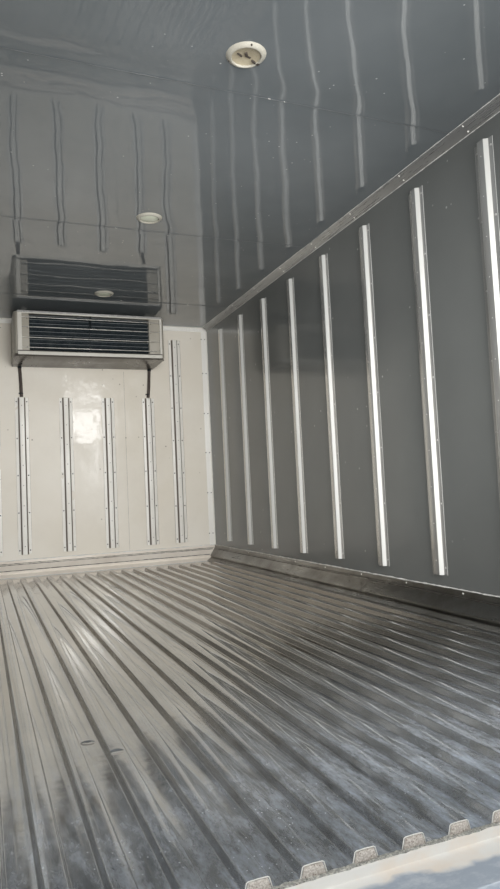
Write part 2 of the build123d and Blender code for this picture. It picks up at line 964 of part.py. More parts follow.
def rod_handle(level):
    """Flat handle across the door: a hub on the rod and a grip that narrows to its end."""
    end = ROD_X + HANDLE_LENGTH
    outline = [(ROD_X, -HANDLE_ROOT / 2), (end - HANDLE_END, -HANDLE_GRIP / 2)]
    outline += [(end, -HANDLE_GRIP / 4), (end, HANDLE_GRIP / 4)]
    outline += [(end - HANDLE_END, HANDLE_GRIP / 2), (ROD_X, HANDLE_ROOT / 2)]
    placed = [(x, level + z) for x, z in outline]
    grip = bar_along_y(placed, Y_ROD - HANDLE_THICK / 2, Y_ROD + HANDLE_THICK / 2)
    hub = HUB_SIZE / 2
    return grip + box(
        ROD_X - hub, ROD_X + hub, Y_ROD - ROD_RADIUS - 2, Y_ROD + ROD_RADIUS + 2,
        level - hub, level + hub,
    )


def lock_gear_right():
    """Lock rod with end cams, a handle lying along the door, its catch and the guides."""
    low = DOOR_LOW - ROD_BEYOND
    high = DOOR_HIGH + ROD_BEYOND
    rod = faceted_bar((ROD_X, Y_ROD, low), (ROD_X, Y_ROD, high), ROD_RADIUS, ROD_SIDES)
    half = CAM_HEIGHT / 2
    for end in (low + CAM_INSET, high - CAM_INSET):
        rod += box(
            ROD_X, ROD_X + CAM_REACH, Y_ROD - CAM_THICK / 2, Y_ROD + CAM_THICK / 2,
            end - half, end + half,
        )
    level = Z_FLOOR + HANDLE_LEVEL
    rod += rod_handle(level)
    face = rear_y(DOOR_OUTER)
    catch_x = ROD_X + CATCH_PLACE
    under = level - HANDLE_ROOT / 2
    catch = box(catch_x, catch_x + CATCH_WIDTH, Y_ROD - ROD_RADIUS, face, under - 10, under - 2)
    guides = [rod_guide(Z_FLOOR + guide_level) for guide_level in GUIDE_LEVELS]
    return opened([rod, catch] + guides)


def lock_gear_left():
    """Mirror of the right lock gear."""
    return mirrored(lock_gear_right())


def lock_keepers():
    """Keepers on header and sill that the rod cams turn into."""
    half = KEEPER_WIDTH / 2
    inner = half - KEEPER_WALL
    ledge = Z_FLOOR - SILL_STEP_DROP
    pieces = []
    for low in (Z_HEADER + KEEPER_ABOVE, ledge - KEEPER_BELOW):
        high = low + KEEPER_HEIGHT
        section = [
            (ROD_X - half, Y_POST),
            (ROD_X + half, Y_POST),
            (ROD_X + half, Y_POST - KEEPER_DEPTH),
            (ROD_X + inner, Y_POST - KEEPER_DEPTH),
            (ROD_X + inner, Y_POST - KEEPER_SHEET),
            (ROD_X - inner, Y_POST - KEEPER_SHEET),
            (ROD_X - inner, Y_POST - KEEPER_DEPTH),
            (ROD_X - half, Y_POST - KEEPER_DEPTH),
        ]
        pieces.append(bar_along_z(section, low, high))
    return both_sides(pieces)


def door_holdbacks():
    """Rubber stops on the side walls that the open doors lie against."""
    z = Z_FLOOR + HOLDBACK_LEVEL
    y = Y0 + HOLDBACK_Y
    tip = X_OUTER + HOLDBACK_LENGTH
    block = None
    for start, end, half in (
        # along X from, to, half side
        (X_OUTER, X_OUTER + HOLDBACK_FOOT, 45),
        (X_OUTER + HOLDBACK_FOOT, tip - HOLDBACK_PAD, 15),
        (tip - HOLDBACK_PAD, tip, 26),
    ):
        part = box(start, end, y - half, y + half, z - half, z + half)
        block = part if block is None else block + part
    return both_sides([block])


# Evaporator


def housing_plan(low, high):
    """Prism over the unit's plan: its face is narrower than its body."""
    shoulder = Y_EVAP + EVAP_SHOULDER
    plan = [
        (EVAP_LEFT, Y_EVAP),
        (EVAP_RIGHT, Y_EVAP),
        (EVAP_RIGHT + EVAP_FLARE, shoulder),
        (EVAP_RIGHT + EVAP_FLARE, Y_FRONT),
        (EVAP_LEFT - EVAP_FLARE, Y_FRONT),
        (EVAP_LEFT - EVAP_FLARE, shoulder),
    ]
    return bar_along_z(plan, low, high)


def evaporator_top():
    """Top sheet with its front edge folded down."""
    fold = Z_EVAP_HIGH - EVAP_TOP_FOLD
    section = [
        (Y_FRONT, Z_EVAP_HIGH),
        (Y_EVAP, Z_EVAP_HIGH),
        (Y_EVAP, fold),
        (Y_EVAP + EVAP_SHEET, fold),
        (Y_EVAP + EVAP_SHEET, Z_EVAP_HIGH - EVAP_SHEET),
        (Y_FRONT, Z_EVAP_HIGH - EVAP_SHEET),
    ]
    sheet = bar_along_x(section, EVAP_LEFT - EVAP_FLARE, EVAP_RIGHT + EVAP_FLARE)
    return [sheet & housing_plan(fold, Z_EVAP_HIGH)]


def evaporator_pan():
    """Drip pan under the unit, with a front lip and a floor that falls to the wall."""
    lip = Z_EVAP_LOW + EVAP_LIP
    knee = Z_EVAP_LOW + PAN_KNEE
    nose = Z_EVAP_LOW + PAN_NOSE
    bend = Y_EVAP + PAN_BEND
    section = [
        (Y_FRONT, Z_EVAP_LOW),
        (bend, knee),
        (Y_EVAP, nose),
        (Y_EVAP, lip),
        (Y_EVAP + EVAP_SHEET, lip),
        (Y_EVAP + EVAP_SHEET, nose + EVAP_SHEET),
        (bend, knee + EVAP_SHEET),
        (Y_FRONT, Z_EVAP_LOW + EVAP_SHEET),
    ]
    pan = bar_along_x(section, EVAP_LEFT - EVAP_FLARE, EVAP_RIGHT + EVAP_FLARE)
    return [pan & housing_plan(Z_EVAP_LOW, lip)]


def evaporator_ends():
    """End compartments that make the pale cheeks beside the outlet."""
    low = Z_EVAP_LOW + PAN_NOSE + EVAP_SHEET + 1
    high = Z_EVAP_HIGH - EVAP_SHEET
    front = Y_EVAP + CHEEK_BACK
    housing = housing_plan(low, high)
    left = box(EVAP_LEFT - EVAP_FLARE, EVAP_OPEN_LEFT, front, Y_FRONT, low, high)
    right = box(EVAP_OPEN_RIGHT, EVAP_RIGHT + EVAP_FLARE, front, Y_FRONT, low, high)
    return [left & housing, right & housing]


def evaporator_coil():
    """Finned coil block across the back of the unit."""
    low = Z_EVAP_LOW + EVAP_LIP - 2
    high = Z_EVAP_HIGH - EVAP_SHEET - 4
    near, far = EVAP_COIL_Y
    return [box(EVAP_OPEN_LEFT, EVAP_OPEN_RIGHT, Y0 + near, Y0 + far, low, high)]


def evaporator_guard():
    """Guard over the outlet: four long wires between two angles, with a wire upright."""
    low = Z_EVAP_LOW + EVAP_LIP
    high = Z_EVAP_HIGH - EVAP_TOP_FOLD
    y = Y_EVAP + GUARD_WIRE_BACK
    middle = (GUARD_MIDDLE, y + GUARD_WIRE_RADIUS)
    guard = faceted_bar((*middle, low), (*middle, high), GUARD_WIRE_RADIUS, GUARD_WIRE_SIDES)
    for level in GUARD_LEVELS:
        z = Z_FLOOR + level
        ends = ((EVAP_LEFT + 1, y, z), (EVAP_RIGHT - 1, y, z))
        guard += faceted_bar(*ends, GUARD_WIRE_RADIUS, GUARD_WIRE_SIDES)
    for edge, inward in ((EVAP_LEFT, 1), (EVAP_RIGHT, -1)):
        section = [
            (edge, Y_EVAP),
            (edge + inward * GUARD_ANGLE, Y_EVAP),
            (edge + inward * GUARD_ANGLE, Y_EVAP + GUARD_SHEET),
            (edge + inward * GUARD_SHEET, Y_EVAP + GUARD_SHEET),
            (edge + inward * GUARD_SHEET, Y_EVAP + GUARD_RETURN),
            (edge, Y_EVAP + GUARD_RETURN),
        ]
        guard += bar_along_z(section, low, high)
    return [guard]


def evaporator_louvres():
    """Dark slats across the outlet behind the guard, their rear edges lower, on one divider."""
    first = Z_EVAP_LOW + LOUVRE_FIRST
    last = Z_EVAP_HIGH - LOUVRE_LAST
    pitch = (last - first) / (LOUVRE_COUNT - 1)
    y = Y0 + LOUVRE_Y
    rise = LOUVRE_RISE / 2
    run = LOUVRE_RUN / 2
    divider_x = (LOUVRE_DIVIDER - LOUVRE_SHEET, LOUVRE_DIVIDER + LOUVRE_SHEET)
    rack = box(*divider_x, y - run, y + run, first - rise, last + rise)
    for index in range(LOUVRE_COUNT):
        z = first + index * pitch
        section = [
            (y - run, z + rise - LOUVRE_SHEET),
            (y - run, z + rise),
            (y + run, z - rise + LOUVRE_SHEET),
            (y + run, z - rise),
        ]
        rack += bar_along_x(section, EVAP_OPEN_LEFT, EVAP_OPEN_RIGHT)
    return [rack]


def blade_section(chord):
    """Thin cambered section across a blade, made of three flats."""
    run = [
        # share of the chord, share of the camber
        (-0.5, 0.0),
        (-0.18, 1.0),
        (0.18, 1.0),
        (0.5, 0.0),
    ]
    camber = chord * BLADE_CAMBER
    thick = chord * BLADE_THICK
    upper = [(chord * along, camber * up) for along, up in run]
    lower = [(x, y - thick) for x, y in reversed(upper)]
    return make_face(Polyline(*upper, *lower, close=True))


def fan_blade(root, tip, chord):
    """One blade along Z: a cambered sheet cut to an outline that widens to its tip."""
    half = chord / 2
    foot = half * BLADE_TAPER
    corner = tip - chord * BLADE_CORNER
    outline = [
        (-foot, root),
        (foot, root),
        (half, corner),
        (half - chord * BLADE_CORNER, tip),
        (-foot, tip),
        (-half, corner),
    ]
    sheet = extrude(Pos(0, 0, root) * blade_section(chord), amount=tip - root)
    return Rot(0, 0, BLADE_PITCH) * (sheet & bar_along_y(outline, -half, half))


def fan_wheel(tip_radius, hub_radius, hub_length, blades, chord, bore):
    """Axial fan about the Y axis: cambered blades on a faceted hub with a blind bore."""
    half = hub_length / 2
    side = Plane(origin=(0, -half, 0), x_dir=(1, 0, 0), z_dir=(0, 1, 0))
    wheel = extrude(side * RegularPolygon(hub_radius, HUB_SIDES), amount=hub_length)
    blade = fan_blade(hub_radius * BLADE_ROOT, tip_radius, chord)
    for index in range(blades):
        wheel += Rot(0, 360 / blades * index, 0) * blade
    ends = ((0, -half - 1, 0), (0, half - HUB_CAP, 0))
    return wheel - faceted_bar(*ends, bore, BORE_SIDES, around=True)


def fan_motor(x, z, body, shaft, radius):
    """Faceted motor can with a round shaft; body and shaft are pairs of Y."""
    can_plane = Plane(origin=(x, body[0], z), x_dir=(1, 0, 0), z_dir=(0, 1, 0))
    can = extrude(can_plane * RegularPolygon(radius, MOTOR_SIDES), amount=body[1] - body[0])
    return can + round_bar((x, shaft[0], z), (x, shaft[1], z), SHAFT_RADIUS)


def evaporator_fan(place):
    """One evaporator fan on its motor shaft; the blind bore opens forward."""
    bore = SHAFT_RADIUS + SHAFT_PLAY
    wheel = fan_wheel(EVAP_FAN_RADIUS, EVAP_HUB_RADIUS, EVAP_HUB, EVAP_BLADES, EVAP_CHORD, bore)
    return [Pos(place, Y0 + EVAP_FAN_Y, Z_EVAP_FAN) * (Rot(0, 0, 180) * wheel)]


def evaporator_fan_left():
    """Left evaporator fan."""
    return evaporator_fan(EVAP_FAN_PLACES[0])


def evaporator_fan_right():
    """Right evaporator fan."""
    return evaporator_fan(EVAP_FAN_PLACES[1])


def evaporator_motors():
    """Fan motors on the coil's rear face."""
    y = Y0 + EVAP_FAN_Y
    body = (y + EVAP_HUB / 2 + MOTOR_GAP, Y0 + EVAP_COIL_Y[0])
    shaft = (y - EVAP_HUB / 4, body[0])
    return [
        fan_motor(x, Z_EVAP_FAN, body, shaft, EVAP_MOTOR_RADIUS) for x in EVAP_FAN_PLACES
    ]


def evaporator_hangers():
    """Feet between the unit's top sheet and the ceiling."""
    half = HANGER_SIZE / 2
    feet = []
    for x, place in HANGER_PLACES:
        y = Y0 + place
        feet.append(box(x - half, x + half, y - half, y + half, Z_EVAP_HIGH, Z_CEILING))
    return feet


def drain_hoses():
    """Drain hoses from the pan into the tops of two front strips."""
    hoses = []
    y = Y_FRONT - HOSE_OFF_WALL
    low_z = Z_FLOOR + HOSE_LOW
    for top_x, low_x in HOSES:
        hose = round_bar((low_x, y, low_z), (top_x, y, Z_EVAP_LOW), HOSE_RADIUS)
        hoses.append(hose & box(-X_WALL, X_WALL, y - 30, y + 30, low_z, Z_EVAP_LOW))
    return hoses


# Condensing unit


def condenser_cover():
    """Moulded cover with rounded shoulders and a slanted front rim, open to wall and tray."""
    low = Z_COND + COND_BASE_HEIGHT
    high = Z_COND + COND_HEIGHT
    outer = box(COND_LEFT, COND_RIGHT, Y_FRONT_FACE, COND_FACE, low, high)
    outer = fillet(outer.edges().filter_by(Axis.Y).group_by(Axis.Z)[-1], COND_SHOULDER)
    outer = chamfer(outer.faces().sort_by(Axis.Y)[-1].edges(), COND_RIM)
    inner = box(
        COND_LEFT + COND_SHEET,
        COND_RIGHT - COND_SHEET,
        Y_FRONT_FACE - 1,
        COND_FACE - COND_SHEET,
        low - 1,
        high - COND_SHEET,
    )
    inner = chamfer(inner.edges().filter_by(Axis.Y).group_by(Axis.Z)[-1], COND_SHOULDER * 0.7)
    inner = chamfer(inner.faces().sort_by(Axis.Y)[-1].edges(), COND_RIM)
    cover = outer - inner
    for x in COND_FAN_PLACES:
        back = (x, COND_FACE - COND_RIM - 20, COND_FAN_LEVEL)
        front = (x, COND_FACE + 10, COND_FAN_LEVEL)
        cover -= round_bar(back, front, COND_MOUTH_RADIUS)
    return [cover]


def condenser_base():
    """Floor tray of the condensing unit, its front corners cut like the cover's rim."""
    tray = box(
        COND_LEFT, COND_RIGHT, Y_FRONT_FACE, COND_FACE, Z_COND, Z_COND + COND_BASE_HEIGHT
    )
    fronts = tray.edges().filter_by(Axis.Z).group_by(Axis.Y)[-1]
    return [chamfer(fronts, COND_RIM)]


def condenser_coil():
    """Finned coil block against the wall."""
    near, far = COND_COIL_Y
    return [
        box(
            COND_LEFT + COND_COIL_INSET,
            COND_RIGHT - COND_COIL_INSET,
            Y_FRONT_FACE + near,
            Y_FRONT_FACE + far,
            Z_COND + COND_BASE_HEIGHT,
            Z_COND + COND_HEIGHT - COND_COIL_INSET,
        )
    ]


def condenser_fan(place):
    """One condenser fan; the blind bore opens to the wall."""
    bore = SHAFT_RADIUS + SHAFT_PLAY
    wheel = fan_wheel(COND_FAN_RADIUS, COND_HUB_RADIUS, COND_HUB, COND_BLADES, COND_CHORD, bore)
    return [Pos(place, COND_FAN_Y, COND_FAN_LEVEL) * wheel]


def condenser_fan_left():
    """Left condenser fan."""
    return condenser_fan(COND_FAN_PLACES[0])


def condenser_fan_right():
    """Right condenser fan."""
    return condenser_fan(COND_FAN_PLACES[1])


def condenser_motors():
    """Fan motors carried by the coil frame."""
    body = (Y_FRONT_FACE + COND_COIL_Y[1], COND_FAN_Y - COND_HUB / 2 - MOTOR_GAP)
    shaft = (body[1], COND_FAN_Y + COND_HUB / 4)
    return [
        fan_motor(x, COND_FAN_LEVEL, body, shaft, COND_MOTOR_RADIUS) for x in COND_FAN_PLACES
    ]


def condenser_guards():
    """Wire guards over the fan openings: rings on spokes that meet at a small disc."""
    plane = Plane(origin=(0, COND_FACE, 0), x_dir=(1, 0, 0), z_dir=(0, 1, 0))
    wire_face = Pos(0, GUARD_WIRE, 0)
    guard = extrude(plane * RegularPolygon(GUARD_DISC, GUARD_SIDES), amount=2 * GUARD_WIRE)
    for radius in GUARD_RINGS:
        outline = RegularPolygon(radius, GUARD_SIDES)
        outline -= RegularPolygon(radius - GUARD_WIRE, GUARD_SIDES)
        guard += wire_face * extrude(plane * outline, amount=GUARD_WIRE)
    for index in range(GUARD_SPOKES):
        turn = Rot(0, 180 / GUARD_SPOKES * index, 0)
        spoke = turn * Box(2 * COND_MOUTH_RADIUS + GUARD_HOLD, GUARD_WIRE, GUARD_WIRE)
        guard += Pos(0, COND_FACE + GUARD_WIRE / 2, 0) * spoke
    return [Pos(x, 0, COND_FAN_LEVEL) * guard for x in COND_FAN_PLACES]


NODES = {
    "main_sills": main_sills,
    "cross_members": cross_members,
    "bottom_rails": bottom_rails,
    "floor_slab": floor_slab,
    "side_wall_right": side_wall_right,
    "side_wall_left": side_wall_left,
    "front_wall": front_wall,
    "roof_panel": roof_panel,
    "roof_rails": roof_rails,
    "front_corner_posts": front_corner_posts,
    "floor_plate": floor_plate,
    "rib_end_plugs": rib_end_plugs,
    "wall_strips_right": wall_strips_right,
    "wall_strips_left": wall_strips_left,
    "front_strips": front_strips,
    "cove_trims": cove_trims,
    "corner_trims": corner_trims,
    "kick_rail_right": kick_rail_right,
    "kick_rail_left": kick_rail_left,
    "kick_rail_front": kick_rail_front,
    "ceiling_lamps": ceiling_lamps,
    "rear_post_right": rear_post_right,
    "rear_post_left": rear_post_left,
    "rear_header": rear_header,
    "rear_sill": rear_sill,
    "buffers": buffers,
    "door_right": door_right,
    "door_left": door_left,
    "door_seal_right": door_seal_right,
    "door_seal_left": door_seal_left,
    "door_straps_right": door_straps_right,
    "door_straps_left": door_straps_left,
    "hinge_brackets": hinge_brackets,
    "hinge_pins": hinge_pins,
    "lock_gear_right": lock_gear_right,
    "lock_gear_left": lock_gear_left,
    "lock_keepers": lock_keepers,
    "door_holdbacks": door_holdbacks,
    "evaporator_top": evaporator_top,
    "evaporator_pan": evaporator_pan,
    "evaporator_ends": evaporator_ends,
    "evaporator_coil": evaporator_coil,
    "evaporator_guard": evaporator_guard,
    "evaporator_louvres": evaporator_louvres,
    "evaporator_fan_left": evaporator_fan_left,
    "evaporator_fan_right": evaporator_fan_right,
    "evaporator_motors": evaporator_motors,
    "evaporator_hangers": evaporator_hangers,
    "drain_hoses": drain_hoses,
    "condenser_cover": condenser_cover,
    "condenser_base": condenser_base,
    "condenser_coil": condenser_coil,
    "condenser_fan_left": condenser_fan_left,
    "condenser_fan_right": condenser_fan_right,
    "condenser_motors": condenser_motors,
    "condenser_guards": condenser_guards,
}


def solids_of(shapes):
    """Every solid in a list of shapes."""
    found = []
    for shape in shapes:
        found += list(shape.solids())
    return found


os.makedirs("parts", exist_ok=True)
for name, make in NODES.items():
    node = Compound(children=solids_of(make()))
    node.label = name
    export_step(node, "parts/" + name + ".step")
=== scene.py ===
"""Looks of the insulated box body of a refrigerated truck, in metres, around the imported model."""

import json
import logging
import math
import random
from dataclasses import dataclass
from enum import Enum
from typing import Callable, Iterable, Optional, Sequence

import bmesh
import bpy
from mathutils import Matrix, Vector, noise

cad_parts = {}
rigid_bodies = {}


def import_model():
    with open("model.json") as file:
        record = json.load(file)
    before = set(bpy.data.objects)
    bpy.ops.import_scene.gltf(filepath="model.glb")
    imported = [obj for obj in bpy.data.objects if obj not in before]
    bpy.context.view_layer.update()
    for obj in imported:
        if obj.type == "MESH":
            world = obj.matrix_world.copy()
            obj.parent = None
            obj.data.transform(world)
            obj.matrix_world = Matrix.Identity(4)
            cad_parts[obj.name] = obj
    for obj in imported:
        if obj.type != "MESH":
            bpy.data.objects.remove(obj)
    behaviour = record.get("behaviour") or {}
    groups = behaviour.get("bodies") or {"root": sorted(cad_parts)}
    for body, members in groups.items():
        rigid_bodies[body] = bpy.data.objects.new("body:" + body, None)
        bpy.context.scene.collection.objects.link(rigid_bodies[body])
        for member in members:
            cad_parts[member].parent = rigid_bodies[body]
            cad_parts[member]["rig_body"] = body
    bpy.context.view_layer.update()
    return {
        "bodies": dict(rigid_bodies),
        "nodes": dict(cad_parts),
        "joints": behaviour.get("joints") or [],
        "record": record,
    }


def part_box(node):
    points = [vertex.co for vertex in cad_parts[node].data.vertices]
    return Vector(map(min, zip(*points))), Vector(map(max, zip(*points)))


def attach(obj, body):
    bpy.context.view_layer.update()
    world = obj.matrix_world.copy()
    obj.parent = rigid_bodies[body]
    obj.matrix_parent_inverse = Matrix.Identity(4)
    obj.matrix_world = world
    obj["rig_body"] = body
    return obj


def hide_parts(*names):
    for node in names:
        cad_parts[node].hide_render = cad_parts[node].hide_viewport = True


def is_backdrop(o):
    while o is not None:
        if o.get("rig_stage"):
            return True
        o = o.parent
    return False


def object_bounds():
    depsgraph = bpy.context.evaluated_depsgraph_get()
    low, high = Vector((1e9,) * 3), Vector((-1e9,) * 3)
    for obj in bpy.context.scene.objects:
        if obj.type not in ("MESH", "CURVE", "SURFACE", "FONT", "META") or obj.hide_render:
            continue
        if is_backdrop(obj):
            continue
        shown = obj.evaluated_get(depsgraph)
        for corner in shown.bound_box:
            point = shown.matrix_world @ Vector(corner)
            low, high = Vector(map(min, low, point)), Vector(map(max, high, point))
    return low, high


LOG = logging.getLogger("truck_body")
BODY = "box"
MM = 0.001

Colour = tuple[float, float, float]
Point = tuple[float, float, float]
Socket = bpy.types.NodeSocket
Paint = dict[str, bpy.types.Material]
Verts = list[bmesh.types.BMVert]
Edges = list[bmesh.types.BMEdge]
# A corner of a section: its place in the section's plane, and its rounding
Corner = tuple[float, float, float]
Place = Callable[[float, float], Vector]


class Axis(Enum):
    """The row frame's axes, by the name of what runs along them."""

    ACROSS = 0
    ALONG = 1
    UP = 2


class Side(Enum):
    """Right or left of the centre line."""

    RIGHT = 1
    LEFT = -1

    @property
    def word(self) -> str:
        """The side's name in node and piece names."""
        return self.name.lower()


UP = Vector((0, 0, 1))
DOWN = Vector((0, 0, -1))
REARWARD = Vector((0, -1, 0))
FORWARD = Vector((0, 1, 0))


def in_mm(*rows: Sequence[float]) -> tuple[tuple[float, ...], ...]:
    """Rows of millimetres in metres."""
    return tuple(tuple(value * MM for value in row) for row in rows)


@dataclass(frozen=True)
class Room:
    """The load space's planes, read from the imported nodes.

    Attributes:
        wall: X of the right wall's inner face.
        outer: X of its outer face.
        rear: Y of the floor's rear edge.
        front: Y of the front wall's inner face.
        floor: Z of the floor sheet between the ribs.
        ceiling: Z of the ceiling.
    """

    wall: float
    outer: float
    rear: float
    front: float
    floor: float
    ceiling: float

    @classmethod
    def from_frame(cls) -> "Room":
        """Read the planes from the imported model.

        Returns:
            The planes.
        """
        sheet = 2 * MM
        return cls(
            wall=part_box("side_wall_right")[0].x,
            outer=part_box("side_wall_right")[1].x,
            rear=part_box("floor_plate")[0].y,
            front=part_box("front_wall")[0].y,
            floor=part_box("floor_plate")[0].z + sheet,
            ceiling=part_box("roof_panel")[0].z,
        )

    @property
    def depth(self) -> float:
        """Length of the floor from its rear edge to the front wall."""
        return self.front - self.rear

    @property
    def height(self) -> float:
        """Height from floor to ceiling."""
        return self.ceiling - self.floor

    def at(self, x: float, y: float, z: float) -> Vector:
        """Row frame point of a place given from the floor's rear edge and the floor."""
        return Vector((x, self.rear + y, self.floor + z))


class Tree:
    """A material under construction: each call adds a node and gives back its output."""

    def __init__(self, name: str) -> None:
        """Start an empty material.

        Args:
            name: its name.
        """
        self.material = bpy.data.materials.new(name)
        self.material.use_nodes = True
        self.nodes = self.material.node_tree.nodes
        self.links = self.material.node_tree.links
        self.nodes.clear()
        coordinates = self.nodes.new("ShaderNodeTexCoord")
        self.place = coordinates.outputs["Object"]
        self.normal = coordinates.outputs["Normal"]

    def _join(self, value: object, socket: Socket) -> None:
        """Link an output to a socket, or set a constant on it.

        Args:
            value: another node's output, a colour, a point or a number.
            socket: the input that takes it.
        """
        if isinstance(value, Socket):
            self.links.new(value, socket)
        elif isinstance(value, tuple) and socket.type == "RGBA":
            socket.default_value = (*value, 1.0)
        else:
            socket.default_value = value

    def _node(self, kind: str, inputs: dict[object, object], output: object,
              **settings: object) -> Socket:
        """Add a node.

        Args:
            kind: the node's type, without its first words.
            inputs: what goes into each input.
            output: name or number of the output that is used.
            **settings: the node's own settings.

        Returns:
            The output.
        """
        node = self.nodes.new(f"ShaderNode{kind}")
        for key, value in settings.items():
            setattr(node, key, value)
        for key, value in inputs.items():
            self._join(value, node.inputs[key])
        return node.outputs[output]

    def mapped(self, scale: Point = (1, 1, 1)) -> Socket:
        """Object coordinates, stretched."""
        return self._node("Mapping", {"Vector": self.place, "Scale": scale}, "Vector")

    def noise(self, scale: float, detail: float = 3.0, rough: float = 0.5,
              stretch: Point = (1, 1, 1), twist: float = 0.0) -> Socket:
        """Noise pattern.

        Args:
            scale: its fineness.
            detail: number of finer layers.
            rough: their strength.
            stretch: below 1 draws it out along that axis.
            twist: its distortion.

        Returns:
            Its factor.
        """
        return self._node("TexNoise", {
            "Vector": self.mapped(stretch), "Scale": scale, "Detail": detail,
            "Roughness": rough, "Distortion": twist}, "Fac")

    def cells(self, scale: float) -> Socket:
        """Distance to the nearest Voronoi point."""
        inputs = {"Vector": self.mapped(), "Scale": scale}
        return self._node("TexVoronoi", inputs, "Distance")

    def axis(self, axis: Axis) -> Socket:
        """One object coordinate."""
        return self._node("SeparateXYZ", {0: self.place}, axis.value)

    def turned(self, axis: Axis) -> Socket:
        """How far a face is turned to an axis: 1 where it lies square to it."""
        return self.math("ABSOLUTE", self._node("SeparateXYZ", {0: self.normal}, axis.value))

    def far_from(self, point: Point) -> Socket:
        """Distance from a point of the row frame."""
        return self._node("VectorMath", {0: self.place, 1: point}, "Value",
                          operation="DISTANCE")

    def span(self, value: Socket, low: float, high: float, to_low: float = 0.0,
             to_high: float = 1.0) -> Socket:
        """Value stretched from one range to another, clamped."""
        return self._node("MapRange", {"From Min": low, "From Max": high, "To Min": to_low,
                                       "To Max": to_high, "Value": value}, "Result")

    def math(self, work: str, first: object, second: object = 0.0) -> Socket:
        """Arithmetic on two values."""
        return self._node("Math", {0: first, 1: second}, 0, operation=work)

    def plus(self, first: object, second: object) -> Socket:
        """Sum of two values."""
        return self.math("ADD", first, second)

    def times(self, first: object, second: object) -> Socket:
        """Product of two values."""
        return self.math("MULTIPLY", first, second)

    def blend(self, factor: object, first: object, second: object) -> Socket:
        """Colour between two colours."""
        return self._node("Mix", {"Factor": factor, 6: first, 7: second}, 2,
                          data_type="RGBA")

    def bump(self, height: Socket, distance: float, under: Optional[Socket] = None) -> Socket:
        """Bumped normal.

        Args:
            height: the pattern.
            distance: its full height.
            under: normal that it lies on, if any.

        Returns:
            The normal.
        """
        inputs: dict[object, object] = {"Strength": 1.0, "Distance": distance,
                                        "Height": height}
        if under is not None:
            inputs["Normal"] = under
        return self._node("Bump", inputs, "Normal")

    def surface(self, **inputs: object) -> bpy.types.Material:
        """Close the tree with a Principled shader and give back the material.

        Args:
            **inputs: the shader's inputs, with underscores for spaces.

        Returns:
            The material.
        """
        named = {key.replace("_", " "): value for key, value in inputs.items()}
        shader = self._node("BsdfPrincipled", named, 0)
        output = self.nodes.new("ShaderNodeOutputMaterial")
        self.links.new(shader, output.inputs["Surface"])
        return self.material


@dataclass(frozen=True)
class SheetFinish:
    """Coated sheet: an even colour with faint clouds, smears and a gloss."""

    name: str
    colour: Colour
    cloud: Colour
    dirt: Colour = (0.20, 0.19, 0.17)
    gloss: float = 0.30
    ior: float = 1.5
    dirt_amount: float = 0.25
    speck_amount: float = 0.0
    speck: Optional[Colour] = None
    speck_scale: float = 22.0
    film_rough: float = 0.2
    fineness: float = 1.0
    ripple: float = 0.15 * MM
    metallic: float = 0.0

    def make(self) -> bpy.types.Material:
        """Build the material.

        Returns:
            The material.
        """
        tree = Tree(self.name)
        clouds = tree.span(tree.noise(1.4, 4.0, 0.55), 0.35, 0.68)
        colour = tree.blend(clouds, self.colour, self.cloud)
        film = tree.span(tree.noise(2.1, 6.0 * self.fineness, 0.65), 0.50, 0.85, 0.0,
                         self.dirt_amount)
        colour = tree.blend(film, colour, self.dirt)
        specks = tree.span(tree.cells(self.speck_scale), 0.085, 0.045)
        patches = tree.span(tree.noise(4.0, 3.0, 0.6), 0.50, 0.58, 0.0, self.speck_amount)
        colour = tree.blend(tree.times(specks, patches), colour, self.speck or self.dirt)
        smears = tree.noise(7.0, 5.0 * self.fineness, 0.6, stretch=(1.0, 0.35, 1.0))
        rough = tree.span(smears, 0.3, 0.75, self.gloss * 0.8, self.gloss * 1.35)
        rough = tree.plus(rough, tree.times(film, self.film_rough))
        normal = tree.bump(tree.noise(14.0), self.ripple)
        return tree.surface(Base_Color=colour, Roughness=rough, Normal=normal,
                            Metallic=self.metallic, IOR=self.ior)


@dataclass(frozen=True)
class SteelFinish:
    """Sheet metal with brush lines along one axis, slow waves and dull patches.

    A flank colour, if given, covers the faces that are turned to the flank axis; it is painted
    light on some finishes and painted shade on others, for how the light falls on those faces.
    """

    name: str
    colour: Colour
    stain: Colour
    gloss: float = 0.30
    grain: Axis = Axis.UP
    stain_amount: float = 0.5
    scratch: float = 0.05 * MM
    wave: float = 0.3 * MM
    metallic: float = 1.0
    patch_rough: float = 0.2
    flank: Optional[Colour] = None
    flank_axis: Axis = Axis.ACROSS
    flank_metallic: float = 0.2

    def make(self) -> bpy.types.Material:
        """Build the material.

        Returns:
            The material.
        """
        tree = Tree(self.name)
        stretch = tuple(0.02 if axis is self.grain else 1.0 for axis in Axis)
        lines = tree.noise(220.0, 3.0, 0.7, stretch=stretch)
        patches = tree.span(tree.noise(4.5, 6.0, 0.65), 0.42, 0.72, 0.0, self.stain_amount)
        colour = tree.blend(patches, self.colour, self.stain)
        metal: object = self.metallic
        # Painted light and shade: flank colour and metallic cover the faces turned to the flank
        # axis
        if self.flank is not None:
            sides = tree.span(tree.turned(self.flank_axis), 0.10, 0.32)
            colour = tree.blend(sides, colour, self.flank)
            metal = tree.span(sides, 0.0, 1.0, self.metallic, self.flank_metallic)
        fine = tree.span(lines, 0.3, 0.7, self.gloss * 0.8, self.gloss * 1.2)
        rough = tree.plus(fine, tree.times(patches, self.patch_rough))
        normal = tree.bump(lines, self.scratch)
        normal = tree.bump(tree.noise(9.0, 2.0), self.wave, normal)
        return tree.surface(Base_Color=colour, Roughness=rough, Normal=normal,
                            Metallic=metal)


